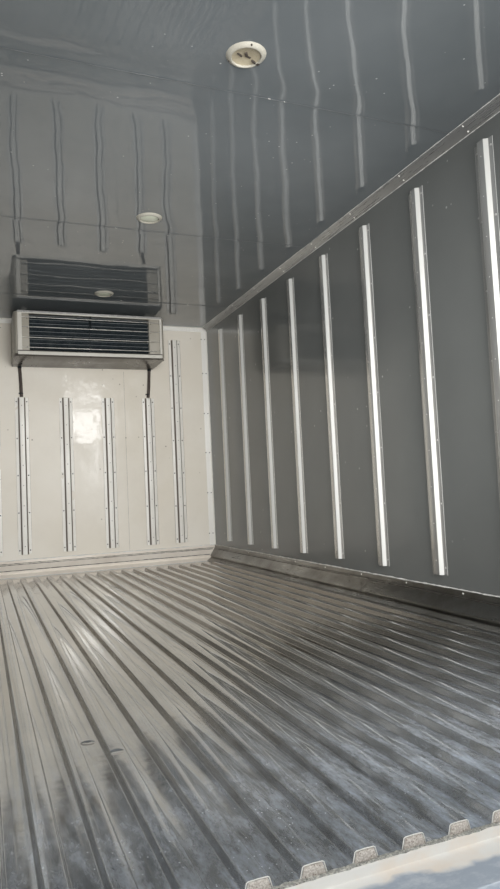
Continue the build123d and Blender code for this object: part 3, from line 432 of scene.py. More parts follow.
@dataclass(frozen=True)
class DullFinish:
    """Rubber or plastic: fine grain, dust on it and no metal."""

    name: str
    colour: Colour
    dust: Colour
    gloss: float = 0.6
    dust_amount: float = 0.5

    def make(self) -> bpy.types.Material:
        """Build the material.

        Returns:
            The material.
        """
        tree = Tree(self.name)
        dusty = tree.span(tree.noise(14.0, 6.0, 0.7), 0.45, 0.75, 0.0, self.dust_amount)
        colour = tree.blend(dusty, self.colour, self.dust)
        fine = tree.noise(240.0, 2.0)
        rough = tree.span(fine, 0.3, 0.7, self.gloss * 0.85, min(1.0, self.gloss * 1.15))
        normal = tree.bump(fine, 0.08 * MM)
        return tree.surface(Base_Color=colour, Roughness=rough, Normal=normal)


@dataclass(frozen=True)
class FillerFinish:
    """Rough sandy filler with pale and brown grains."""

    name: str
    colour: Colour
    pale: Colour
    brown: Colour
    grain_scale: float = 330.0

    def make(self) -> bpy.types.Material:
        """Build the material.

        Returns:
            The material.
        """
        tree = Tree(self.name)
        fine = tree.noise(self.grain_scale, 4.0, 0.6)
        colour = tree.blend(tree.span(fine, 0.45, 0.62), self.colour, self.pale)
        grains = tree.span(tree.cells(self.grain_scale * 0.6), 0.30, 0.18, 0.0, 0.8)
        colour = tree.blend(grains, colour, self.brown)
        normal = tree.bump(fine, 0.6 * MM)
        return tree.surface(Base_Color=colour, Roughness=0.85, Normal=normal)


@dataclass(frozen=True)
class FinFinish:
    """Coil face: upright fins as bright lines with dark lines between them as painted shade in the
    gaps, bent over in patches.
    """

    name: str
    bright: Colour
    dark: Colour
    pitch: float = 5 * MM

    def make(self) -> bpy.types.Material:
        """Build the material.

        Returns:
            The material.
        """
        tree = Tree(self.name)
        bent = tree.times(tree.noise(13.0, 4.0, 0.6), 9 * MM)
        across = tree.plus(tree.axis(Axis.ACROSS), bent)
        edge = tree.math("PINGPONG", across, self.pitch / 2)
        line = tree.span(edge, 0.1 * self.pitch, 0.3 * self.pitch)
        # Painted shade: the dark lines stand for the shaded gaps between the fins
        colour = tree.blend(line, self.bright, self.dark)
        normal = tree.bump(line, 1.0 * MM)
        return tree.surface(Base_Color=colour, Roughness=0.4, Normal=normal, Metallic=0.8)


@dataclass(frozen=True)
class SillFinish:
    """Sill steel: a pale cover on the step, with a ragged edge on the blue-grey ledge. The cover is
    dried dirt and painted light on the lit step; the ledge's blue is a painted reflection of the
    sky.

    Attributes:
        edge: Y of the pale cover's edge.
    """

    name: str
    steel: Colour
    smudge: Colour
    dirt: Colour
    rust: Colour
    edge: float
    reach: float = 16 * MM

    def make(self) -> bpy.types.Material:
        """Build the material.

        Returns:
            The material.
        """
        tree = Tree(self.name)
        scuffs = tree.span(tree.noise(26.0, 6.0, 0.7, stretch=(0.6, 1.0, 1.0)), 0.50, 0.70)
        ground = tree.blend(scuffs, self.steel, self.smudge)
        rusty = tree.span(tree.noise(9.0, 4.0, 0.6), 0.50, 0.70)
        # The pale film is dried dirt and painted light on the step; the blue-grey ground is a
        # painted reflection of the sky
        film = tree.blend(rusty, self.dirt, self.rust)
        wander = tree.span(tree.noise(13.0), 0.3, 0.7, -self.reach, self.reach)
        place = tree.plus(tree.axis(Axis.ALONG), wander)
        cover = tree.span(place, self.edge - 6 * MM, self.edge + 6 * MM)
        colour = tree.blend(cover, ground, film)
        fine = tree.noise(150.0, 3.0, 0.6, stretch=(0.1, 1.0, 1.0))
        rough = tree.plus(tree.span(fine, 0.3, 0.7, 0.34, 0.46), tree.times(cover, 0.2))
        metal = tree.span(cover, 0.0, 1.0, 0.35, 0.0)
        return tree.surface(Base_Color=colour, Roughness=rough, Metallic=metal,
                            Normal=tree.bump(fine, 0.04 * MM))


@dataclass(frozen=True)
class FloorFinish:
    """Scuffed stainless floor: brushed, with dust and painted skylight near the doors, brown smears
    ahead and painted shade on the rib flanks.

    Attributes:
        bare: colour of the cleaner patches.
        haze: colour of the dusty film near the doors, its blue tint painted skylight.
        pale: colour of the specks and scuffs in the film.
    """

    name: str
    colour: Colour
    bare: Colour
    smear: Colour
    haze: Colour
    pale: Colour
    rear: float
    dents: tuple[Point, ...] = ()
    dent_reach: float = 17 * MM
    gloss: float = 0.080

    def make(self) -> bpy.types.Material:
        """Build the material.

        Returns:
            The material.
        """
        tree = Tree(self.name)
        along = tree.axis(Axis.ALONG)
        near = tree.math("POWER", tree.span(along, self.rear + 1.3, self.rear), 1.6)
        level = tree.span(tree.turned(Axis.UP), 0.80, 0.98, 0.60, 1.0)
        long_marks = tree.noise(120.0, 4.0, 0.75, stretch=(1.0, 0.02, 1.0))
        cross_marks = tree.noise(60.0, 5.0, 0.7, stretch=(0.10, 1.0, 1.0), twist=0.6)
        clouds = tree.span(tree.noise(2.6, 6.0, 0.62), 0.36, 0.68)
        colour = tree.blend(clouds, self.colour, self.bare)
        far = tree.span(along, self.rear + 1.0, self.rear + 4.2, 0.0, 0.16)
        patches = tree.plus(tree.noise(7.5, 7.0, 0.72, stretch=(1.6, 0.7, 1.0)), far)
        smears = tree.span(patches, 0.66, 0.84, 0.0, 0.75)
        # Painted shade: faces turned across, the rib flanks, take the smear colour, more of it
        # further forward
        flank_shade = tree.times(tree.span(tree.turned(Axis.ACROSS), 0.3, 0.8),
                            tree.span(along, self.rear + 0.3, self.rear + 2.4, 0.15, 0.85))
        smears = tree.math("MAXIMUM", smears, flank_shade)
        colour = tree.blend(smears, colour, self.smear)
        mottle = tree.noise(38.0, 8.0, 0.78, stretch=(1.0, 0.30, 1.0))
        mottle = tree.span(mottle, 0.36, 0.70, 0.22, 1.0)
        # Real dust and painted skylight: a pale bluish film near the doors, on up-facing flats and
        # stronger to the right
        haze = tree.times(mottle, tree.span(near, 0.0, 1.0, 0.0, 0.90))
        haze = tree.times(haze, level)
        haze = tree.times(haze, tree.span(tree.axis(Axis.ACROSS), -0.6, 0.3, 0.9, 1.6))
        colour = tree.blend(haze, colour, self.haze)
        grit = tree.span(tree.cells(85.0), 0.15, 0.06)
        where = tree.span(tree.noise(6.5, 4.0, 0.6), 0.44, 0.58)
        specks = tree.times(tree.times(grit, where), tree.span(near, 0.0, 1.0, 0.10, 0.9))
        scuffs = tree.span(tree.noise(48.0, 6.0, 0.75), 0.60, 0.72)
        scuffs = tree.times(tree.times(scuffs, where), tree.span(near, 0.0, 1.0, 0.05, 0.7))
        marks = tree.times(tree.math("MAXIMUM", specks, scuffs), level)
        colour = tree.blend(marks, colour, self.pale)
        rough = tree.span(long_marks, 0.25, 0.75, self.gloss * 0.7, self.gloss * 1.4)
        rough = tree.plus(rough, tree.span(cross_marks, 0.56, 0.72, 0.0, 0.06))
        for layer, dulling in ((smears, 0.15), (haze, 0.12), (marks, 0.35)):
            rough = tree.plus(rough, tree.times(layer, dulling))
        metal = tree.span(tree.math("MAXIMUM", haze, marks), 0.0, 1.0, 1.0, 0.25)
        normal = tree.bump(long_marks, 0.010 * MM)
        waves = tree.noise(11.0, 2.0, stretch=(0.5, 1.0, 1.0))
        normal = tree.bump(waves, 0.6 * MM, normal)
        for dent in self.dents:
            bowl = tree.span(tree.far_from(dent), 0.0, self.dent_reach)
            normal = tree.bump(tree.math("POWER", bowl, 2.0), 4.0 * MM, normal)
        return tree.surface(Base_Color=colour, Roughness=rough, Normal=normal, Metallic=metal)


# Two dents in the floor: distance from the centre line and from the rear edge, height
FLOOR_DENTS = ((-0.606, 0.724, 0.0), (-0.563, 0.586, 0.018))


def finishes(room: Room) -> Paint:
    """Build every finish once.

    Args:
        room: the load space's planes.

    Returns:
        The materials by name.
    """
    dents = tuple(tuple(room.at(*place)) for place in FLOOR_DENTS)
    table = [
        # Painted shade: the ceiling and side linings take dark colours for the shade they lie in;
        # the front lining, facing the doorway's light, keeps the pale colour
        SheetFinish("ceiling_sheet", (0.134, 0.149, 0.156), (0.170, 0.186, 0.194), gloss=0.024,
                    ior=1.87, dirt_amount=0.05, film_rough=0.0, speck_amount=0.8,
                    speck=(0.58, 0.59, 0.59)),
        SheetFinish("side_lining", (0.144, 0.149, 0.143), (0.166, 0.172, 0.165), gloss=0.14,
                    ior=1.75, dirt_amount=0.06, speck_amount=0.7, speck=(0.46, 0.46, 0.44),
                    speck_scale=13.0),
        SheetFinish("front_lining", (0.80, 0.74, 0.63), (0.86, 0.81, 0.715), gloss=0.070,
                    ior=1.6, dirt=(0.52, 0.46, 0.37), speck_amount=0.8,
                    speck=(0.22, 0.18, 0.13), speck_scale=13.0, ripple=1.2 * MM),
        SheetFinish("white_skin", (0.78, 0.79, 0.785), (0.755, 0.765, 0.76), gloss=0.27,
                    dirt=(0.50, 0.48, 0.45), dirt_amount=0.10, fineness=0.3,
                    film_rough=0.05, ripple=0.0),
        SheetFinish("unit_metal", (0.60, 0.575, 0.51), (0.66, 0.635, 0.57),
                    dirt=(0.30, 0.26, 0.21), dirt_amount=0.3),
        SheetFinish("rail_metal", (0.44, 0.43, 0.41), (0.50, 0.49, 0.47), gloss=0.26,
                    metallic=0.3),
        # Painted shade: the end panels are darkened for the shadow they lie in
        SheetFinish("cheek_metal", (0.36, 0.335, 0.28), (0.42, 0.39, 0.33), gloss=0.34,
                    dirt=(0.20, 0.17, 0.13), dirt_amount=0.4),
        SheetFinish("pan_metal", (0.103, 0.093, 0.082), (0.135, 0.124, 0.11), gloss=0.28,
                    dirt=(0.14, 0.12, 0.10), dirt_amount=0.3, metallic=0.5),
        SheetFinish("cover_plastic", (0.77, 0.78, 0.775), (0.745, 0.755, 0.75), gloss=0.24,
                    dirt=(0.45, 0.43, 0.40), dirt_amount=0.12, fineness=0.3,
                    film_rough=0.05, ripple=0.0),
        SheetFinish("chassis_paint", (0.035, 0.036, 0.038), (0.05, 0.05, 0.052), gloss=0.42,
                    dirt=(0.20, 0.17, 0.13), dirt_amount=0.35),
        # Painted light: the pale flank colour lightens the strips' flanks that face along the load
        # space, for the doorway's light on them
        SteelFinish("strip_metal", (0.66, 0.655, 0.63), (0.58, 0.57, 0.54), gloss=0.15,
                    stain_amount=0.3, scratch=0.004 * MM, wave=0.15 * MM, metallic=0.72,
                    patch_rough=0.04, flank=(0.78, 0.77, 0.73), flank_axis=Axis.ALONG,
                    flank_metallic=0.40),
        # Painted shade: the dark flank colour darkens the front strips' sloping flanks for the
        # shade on them
        SteelFinish("front_strip_metal", (0.92, 0.89, 0.82), (0.76, 0.71, 0.63), gloss=0.32,
                    stain_amount=0.4, scratch=0.01 * MM, wave=0.15 * MM, metallic=0.15,
                    flank=(0.20, 0.17, 0.14)),
        SteelFinish("trim_metal", (0.40, 0.40, 0.39), (0.36, 0.355, 0.34), gloss=0.28,
                    grain=Axis.ALONG, stain_amount=0.3, scratch=0.015 * MM, metallic=0.7),
        SteelFinish("corner_metal", (0.95, 0.93, 0.87), (0.88, 0.85, 0.78),
                    scratch=0.01 * MM, metallic=0.08),
        SteelFinish("kick_metal", (0.34, 0.33, 0.31), (0.16, 0.14, 0.12), gloss=0.28,
                    grain=Axis.ALONG, stain_amount=0.7),
        SteelFinish("front_kick_metal", (0.93, 0.86, 0.76), (0.70, 0.615, 0.52), gloss=0.38,
                    grain=Axis.ACROSS, stain_amount=0.55, scratch=0.02 * MM, metallic=0.12),
        SteelFinish("frame_steel", (0.66, 0.67, 0.68), (0.54, 0.54, 0.53), gloss=0.28),
        # Sill: the ledge's blue-grey is a painted reflection of the sky; the pale cover is dried
        # dirt and painted light
        SillFinish("sill_steel", (0.49, 0.55, 0.625), (0.71, 0.75, 0.79), (0.84, 0.82, 0.77),
                   (0.84, 0.75, 0.645), room.rear - 46 * MM),
        SteelFinish("bright_steel", (0.64, 0.65, 0.66), (0.46, 0.45, 0.43), gloss=0.24,
                    grain=Axis.ACROSS),
        SteelFinish("aluminium_rail", (0.72, 0.73, 0.74), (0.56, 0.56, 0.55), gloss=0.36,
                    grain=Axis.ALONG),
        SteelFinish("guard_wire", (0.84, 0.81, 0.74), (0.56, 0.51, 0.43), gloss=0.26,
                    grain=Axis.ACROSS, stain_amount=0.4, metallic=0.7),
        FinFinish("coil_fins", (0.40, 0.43, 0.44), (0.08, 0.09, 0.09)),
        DullFinish("black_rubber", (0.018, 0.018, 0.019), (0.10, 0.095, 0.09)),
        DullFinish("dark_plastic", (0.010, 0.014, 0.017), (0.05, 0.055, 0.055), gloss=0.30),
        DullFinish("slat_plastic", (0.030, 0.039, 0.044), (0.10, 0.11, 0.11), gloss=0.26),
        # Painted highlight: pale rods along the slats' front edges
        DullFinish("slat_edge", (0.20, 0.215, 0.22), (0.30, 0.30, 0.29), gloss=0.30),
        DullFinish("hose_rubber", (0.070, 0.055, 0.048), (0.20, 0.17, 0.14), gloss=0.45),
        # Dark finish: as lines along the kick rails' folds it is painted shade; it also serves dark
        # rivets and socket parts
        DullFinish("dirt_line", (0.045, 0.038, 0.032), (0.12, 0.10, 0.085), gloss=0.8),
        DullFinish("seam_line", (0.105, 0.112, 0.114), (0.17, 0.17, 0.165), gloss=0.5),
        DullFinish("lamp_plastic", (0.42, 0.40, 0.34), (0.30, 0.27, 0.21), gloss=0.26,
                   dust_amount=0.35),
        DullFinish("dish_plastic", (0.40, 0.35, 0.25), (0.27, 0.22, 0.14), gloss=0.30,
                   dust_amount=0.45),
        DullFinish("lens_plastic", (0.62, 0.64, 0.52), (0.50, 0.50, 0.38), gloss=0.18),
        FillerFinish("plug_filler", (0.52, 0.46, 0.40), (0.81, 0.76, 0.70), (0.25, 0.19, 0.15)),
        FillerFinish("edge_grit", (0.30, 0.30, 0.27), (0.58, 0.56, 0.50), (0.13, 0.12, 0.10),
                     grain_scale=240.0),
        FillerFinish("sealant", (0.70, 0.69, 0.65), (0.84, 0.83, 0.80), (0.46, 0.40, 0.33)),
        # Floor: the smear colour also paints shade on the rib flanks; the bluish fourth colour is
        # dust and painted skylight near the doors
        FloorFinish("floor_steel", (0.46, 0.465, 0.465), (0.59, 0.585, 0.57),
                    (0.21, 0.18, 0.145), (0.52, 0.59, 0.68), (0.74, 0.78, 0.82), room.rear,
                    dents),
    ]
    return {item.name: item.make() for item in table}


def named(short: str) -> list[str]:
    """A node's name, or those of a right and left pair if it ends in an underscore."""
    return [short + side.word for side in Side] if short.endswith("_") else [short]


# The CAD nodes of each finish, by the short names that the function named reads
NODES_OF = {
    "chassis_paint": "main_sills cross_members",
    "aluminium_rail": "bottom_rails roof_rails front_corner_posts",
    "white_skin": "floor_slab side_wall_ front_wall roof_panel door_",
    "floor_steel": "floor_plate",
    "plug_filler": "rib_end_plugs",
    "strip_metal": "wall_strips_",
    "front_strip_metal": "front_strips",
    "trim_metal": "cove_trims",
    "corner_metal": "corner_trims",
    "kick_metal": "kick_rail_",
    "front_kick_metal": "kick_rail_front",
    "lamp_plastic": "ceiling_lamps",
    "frame_steel": "rear_post_ rear_header",
    "sill_steel": "rear_sill",
    "black_rubber": "buffers door_seal_ door_holdbacks",
    "bright_steel": "door_straps_ hinge_brackets hinge_pins lock_gear_ lock_keepers",
    "unit_metal": "evaporator_top evaporator_hangers",
    "pan_metal": "evaporator_pan",
    "cheek_metal": "evaporator_ends",
    "coil_fins": "evaporator_coil condenser_coil",
    "guard_wire": "evaporator_guard",
    "slat_plastic": "evaporator_louvres",
    "dark_plastic": "evaporator_fan_ evaporator_motors condenser_fan_ condenser_motors "
                    "condenser_guards",
    "hose_rubber": "drain_hoses",
    "cover_plastic": "condenser_cover condenser_base",
}
NODE_FINISH = {node: finish for finish, shorts in NODES_OF.items()
               for short in shorts.split() for node in named(short)}

# Edge rounding, in millimetres, of nodes whose copy stands for them with softened edges
EASED_NODES = {
    "rear_post_": 2.5, "rear_header": 2.5, "rear_sill": 1.5, "buffers": 6.0, "door_": 3.0,
    "door_seal_": 3.0, "door_straps_": 1.2, "hinge_brackets": 1.2, "hinge_pins": 1.0,
    "lock_gear_": 1.2, "lock_keepers": 1.0, "door_holdbacks": 3.0, "bottom_rails": 1.0,
    "cove_trims": 1.0, "corner_trims": 1.0, "kick_rail_": 1.6, "kick_rail_front": 1.6,
    "evaporator_top": 1.2, "evaporator_pan": 1.2, "evaporator_ends": 1.5,
    "condenser_cover": 4.0, "condenser_base": 4.0, "rib_end_plugs": 1.2, "main_sills": 2.0,
    "cross_members": 1.5,
}


def swing_to(start: Vector, end: Vector) -> Matrix:
    """Shortest turn from one direction to another."""
    return start.rotation_difference(end).to_matrix().to_4x4()


def facing(normal: Sequence[float], at: Vector) -> Matrix:
    """Place of a stamp whose own +Z points along a surface normal."""
    return Matrix.Translation(at) @ swing_to(UP, Vector(normal))


def steps(first: float, last: float, count: int) -> list[float]:
    """Evenly spaced values from first to last."""
    return [first + (last - first) * index / (count - 1) for index in range(count)]


def only(kind: type, items: Iterable[object]) -> list:
    """The items of one kind, such as the vertices that an operator made."""
    return [item for item in items if isinstance(item, kind)]


def round_edges(bm: bmesh.types.BMesh, edges: Edges, radius: float, segments: int = 2,
                clamp: bool = False) -> None:
    """Round edges.

    Args:
        bm: their mesh.
        edges: the edges.
        radius: width of the rounding.
        segments: its steps.
        clamp: keep roundings from running into each other.
    """
    bmesh.ops.bevel(bm, geom=edges, offset=radius, segments=segments, affect="EDGES",
                    profile=0.5, material=-1, clamp_overlap=clamp)


def next_row(bm: bmesh.types.BMesh, edges: Edges) -> tuple[Verts, Edges]:
    """Extrude a row of edges.

    Args:
        bm: their mesh.
        edges: the row.

    Returns:
        The new row's vertices and its edges.
    """
    made = bmesh.ops.extrude_edge_only(bm, edges=edges)["geom"]
    verts = only(bmesh.types.BMVert, made)
    new = set(verts)
    return verts, [edge for edge in only(bmesh.types.BMEdge, made)
                   if edge.verts[0] in new and edge.verts[1] in new]


def edges_at(verts: Verts) -> Edges:
    """The edges at some vertices, each once and in the same order every run."""
    return list(dict.fromkeys(edge for vert in verts for edge in vert.link_edges))


def closed_mesh(name: str, bm: bmesh.types.BMesh) -> bpy.types.Mesh:
    """Turn a finished bmesh into a mesh and free it.

    Args:
        name: the mesh's name.
        bm: the bmesh.

    Returns:
        The mesh.
    """
    mesh = bpy.data.meshes.new(name)
    bm.to_mesh(mesh)
    bm.free()
    return mesh


class Piece:
    """A mesh under construction, made with bmesh operators in the row frame."""

    def __init__(self, name: str) -> None:
        """Start an empty mesh."""
        self.name = name
        self.bm = bmesh.new()

    def fresh(self, known: set[bmesh.types.BMVert]) -> Verts:
        """Vertices that aren't among the known ones."""
        return [vert for vert in self.bm.verts if vert not in known]

    def face_out(self, verts: Verts) -> None:
        """Turn the faces at some vertices of a closed shape outwards."""
        faces = list(dict.fromkeys(face for vert in verts for face in vert.link_faces))
        bmesh.ops.recalc_face_normals(self.bm, faces=faces)

    def face_towards(self, way: Vector) -> None:
        """Turn the faces of one open sheet to a side.

        Args:
            way: where it lies.
        """
        bmesh.ops.recalc_face_normals(self.bm, faces=self.bm.faces)
        self.bm.faces.ensure_lookup_table()
        if self.bm.faces[0].normal.dot(way) < 0:
            bmesh.ops.reverse_faces(self.bm, faces=self.bm.faces)

    def block(self, low: Sequence[float], high: Sequence[float], bevel: float,
              segments: int = 2) -> None:
        """Add a block between two corners.

        Args:
            low: its low corner.
            high: its high corner.
            bevel: width of its edges' rounding.
            segments: steps of the rounding.
        """
        low, high = Vector(low), Vector(high)
        place = Matrix.Translation((low + high) / 2) @ Matrix.Diagonal((*(high - low), 1.0))
        made = bmesh.ops.create_cube(self.bm, size=1.0, matrix=place)["verts"]
        round_edges(self.bm, edges_at(made), bevel, segments)

    def bar(self, section: Sequence[Corner], place: Place, along: Vector,
            segments: int = 2) -> None:
        """Add a bar: a closed outline pushed along a vector.

        Args:
            section: the outline's corners, each with its rounding.
            place: the row frame point of a place in the outline's plane.
            along: the push.
            segments: steps of the rounding.
        """
        near = [self.bm.verts.new(place(a, b)) for a, b, _ in section]
        face = self.bm.faces.new(near)
        pushed = bmesh.ops.extrude_face_region(self.bm, geom=[face])["geom"]
        far = only(bmesh.types.BMVert, pushed)
        bmesh.ops.translate(self.bm, verts=far, vec=along)
        self.face_out(near + far)
        reached = set(far)
        long_edges = [next(edge for edge in vert.link_edges if edge.other_vert(vert) in reached)
                      for vert in near]
        for radius in sorted({rounding for _, _, rounding in section if rounding > 0.0}):
            chosen = [edge for edge, corner in zip(long_edges, section) if corner[2] == radius]
            round_edges(self.bm, chosen, radius, segments)

    def rod(self, start: Vector, end: Vector, radius: float, sides: int = 12) -> None:
        """Add a straight round rod.

        Args:
            start: its one end.
            end: its other end.
            radius: its radius.
            sides: sides of its section.
        """
        place = Matrix.Translation((start + end) / 2) @ swing_to(UP, end - start)
        bmesh.ops.create_cone(self.bm, cap_ends=True, segments=sides, radius1=radius,
                              radius2=radius, depth=(end - start).length, matrix=place)

    def tube(self, path: Sequence[Vector], radii: Sequence[float], sides: int = 6) -> None:
        """Add a round tube along a path, closed at both ends.

        Args:
            path: points of its centre line.
            radii: its radius at each point.
            sides: sides of its section.
        """
        known = set(self.bm.verts)
        heading = (path[1] - path[0]).normalized()
        place = Matrix.Translation(path[0]) @ swing_to(UP, heading)
        ring = bmesh.ops.create_circle(self.bm, segments=sides, radius=radii[0],
                                       matrix=place)["verts"]
        edges = edges_at(ring)
        ends = list(edges)
        for index in range(1, len(path)):
            ring, edges = next_row(self.bm, edges)
            after = path[min(index + 1, len(path) - 1)] - path[index - 1]
            grow = Matrix.Scale(radii[index] / radii[index - 1], 4)
            step = (Matrix.Translation(path[index]) @ swing_to(heading, after) @ grow
                    @ Matrix.Translation(-path[index - 1]))
            heading = after.normalized()
            bmesh.ops.transform(self.bm, matrix=step, verts=ring)
        bmesh.ops.holes_fill(self.bm, edges=ends + edges, sides=0)
        self.face_out(self.fresh(known))

    def lathe(self, profile: Sequence[tuple[float, float]], centre: Vector, axis: Vector,
              turns: int) -> None:
        """Spin a profile round an axis.

        Args:
            profile: (distance from the axis, place along it) of each corner. It closes on
                itself, or begins and ends on the axis.
            centre: the point of the axis that places are measured from.
            axis: unit vector.
            turns: steps of the full turn.
        """
        known = set(self.bm.verts)
        side = axis.orthogonal().normalized()
        line = [self.bm.verts.new(centre + side * out + axis * along)
                for out, along in profile]
        pairs = list(zip(line[:-1], line[1:]))
        if profile[0][0] > 0.0:
            pairs.append((line[-1], line[0]))
        edges = [self.bm.edges.new(pair) for pair in pairs]
        bmesh.ops.spin(self.bm, geom=line + edges, cent=centre, axis=axis, dvec=(0, 0, 0),
                       angle=math.tau, steps=turns, use_merge=True)
        bmesh.ops.remove_doubles(self.bm, verts=self.fresh(known), dist=0.005 * MM)
        self.face_out(self.fresh(known))

    def ring(self, centre: Vector, axis: Vector, radius: float, wire: float) -> None:
        """Add a ring of wire.

        Args:
            centre: its centre.
            axis: unit vector square to it.
            radius: that of the wire's middle.
            wire: the wire's radius.
        """
        circle = [(radius + wire * math.cos(turn), wire * math.sin(turn))
                  for turn in (math.tau * index / 6 for index in range(6))]
        self.lathe(circle, centre, axis, 40)

    def stamp(self, mesh: bpy.types.Mesh, places: Iterable[Matrix]) -> None:
        """Add copies of a mesh.

        Args:
            mesh: the mesh.
            places: place of each copy.
        """
        for place in places:
            copy = mesh.copy()
            copy.transform(place)
            self.bm.from_mesh(copy)
            bpy.data.meshes.remove(copy)

    def heads(self, head: bpy.types.Mesh, normal: Sequence[float],
              points: Iterable[Vector]) -> None:
        """Set a rivet, screw or bolt on each point of a surface with the given normal."""
        self.stamp(head, [facing(normal, point) for point in points])

    def move(self, place: Matrix) -> None:
        """Move the whole mesh, and keep its faces outwards.

        Args:
            place: the move, which may mirror it.
        """
        bmesh.ops.transform(self.bm, matrix=place, verts=self.bm.verts)
        if place.determinant() < 0.0:
            bmesh.ops.reverse_faces(self.bm, faces=self.bm.faces)

    def done(self, paint: Paint, finish: str, body: str = BODY, smooth: float = 35.0,
             stands_for: Sequence[str] = ()) -> None:
        """Turn the mesh into an object that rides on a body.

        Args:
            paint: the finishes by name.
            finish: name of its finish.
            body: the body that carries it.
            smooth: shade smooth up to this angle, in degrees.
            stands_for: CAD nodes that it replaces.
        """
        mesh = closed_mesh(self.name, self.bm)
        mesh.materials.append(paint[finish])
        piece = bpy.data.objects.new(self.name, mesh)
        bpy.context.scene.collection.objects.link(piece)
        mesh.shade_smooth()
        mesh.set_sharp_from_angle(angle=math.radians(smooth))
        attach(piece, body)
        if stands_for:
            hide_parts(*stands_for)
        LOG.info("%s: %d faces", self.name, len(mesh.polygons))


def dome_mesh(radius: float, height: float) -> bpy.types.Mesh:
    """Round rivet head on its base plane, closed underneath.

    Args:
        radius: its radius.
        height: its height.

    Returns:
        Its mesh.
    """
    bm = bmesh.new()
    flat = Matrix.Diagonal((1.0, 1.0, height / radius, 1.0))
    bmesh.ops.create_uvsphere(bm, u_segments=8, v_segments=6, radius=radius, matrix=flat)
    cut = bmesh.ops.bisect_plane(bm, geom=bm.verts[:] + bm.edges[:] + bm.faces[:],
                                 plane_co=(0, 0, 0), plane_no=DOWN, clear_outer=True)
    bmesh.ops.holes_fill(bm, edges=only(bmesh.types.BMEdge, cut["geom_cut"]), sides=0)
    bmesh.ops.recalc_face_normals(bm, faces=bm.faces)
    return closed_mesh("rivet_head", bm)


def bolt_mesh(height: float, radius: float = 6.5 * MM) -> bpy.types.Mesh:
    """Hexagon head on its washer.

    Args:
        height: height of both.
        radius: that of the hexagon's corners.

    Returns:
        Their mesh.
    """
    bm = bmesh.new()
    washer = height * 0.25
    for sides, out, low, high in ((16, radius * 1.35, 0.0, washer), (6, radius, washer, height)):
        place = Matrix.Translation((0, 0, (low + high) / 2))
        made = bmesh.ops.create_cone(bm, cap_ends=True, segments=sides, radius1=out,
                                     radius2=out, depth=high - low, matrix=place)["verts"]
        top = [vert for vert in made if vert.co.z > (low + high) / 2]
        rim = [edge for edge in edges_at(top) if all(vert in top for vert in edge.verts)]
        round_edges(bm, rim, height * 0.08, 1)
    return closed_mesh("bolt_head", bm)


@dataclass
class EasedCopies:
    """Copies of plain CAD nodes with their sharp edges rounded.

    Attributes:
        sharp: edges that fold by more than this many degrees are rounded.
    """

    nodes: dict[str, bpy.types.Object]
    paint: Paint
    sharp: float = 24.0

    def copy(self, node: str, radius: float) -> None:
        """Make one copy with rounded edges, in place of its node.

        Args:
            node: the node.
            radius: width of the rounding.
        """
        source = self.nodes[node]
        piece = Piece(f"{node}_eased")
        piece.bm.from_mesh(source.data)
        bmesh.ops.remove_doubles(piece.bm, verts=piece.bm.verts, dist=0.01 * MM)
        bmesh.ops.dissolve_limit(piece.bm, angle_limit=math.radians(0.3), verts=piece.bm.verts,
                                 edges=piece.bm.edges, use_dissolve_boundaries=False,
                                 delimit=set())
        edges = [edge for edge in piece.bm.edges if len(edge.link_faces) == 2
                 and edge.calc_face_angle(0.0) > math.radians(self.sharp)]
        round_edges(piece.bm, edges, radius, clamp=True)
        piece.done(self.paint, NODE_FINISH[node], source["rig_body"], stands_for=(node,))

    def build(self) -> None:
        """Copy every node of the list."""
        for short, radius in EASED_NODES.items():
            for node in named(short):
                self.copy(node, radius * MM)


@dataclass
class SubAssembly:
    """What every sub-assembly is built with.

    Attributes:
        room: the load space's planes.
        paint: the finishes by name.
    """

    room: Room
    paint: Paint


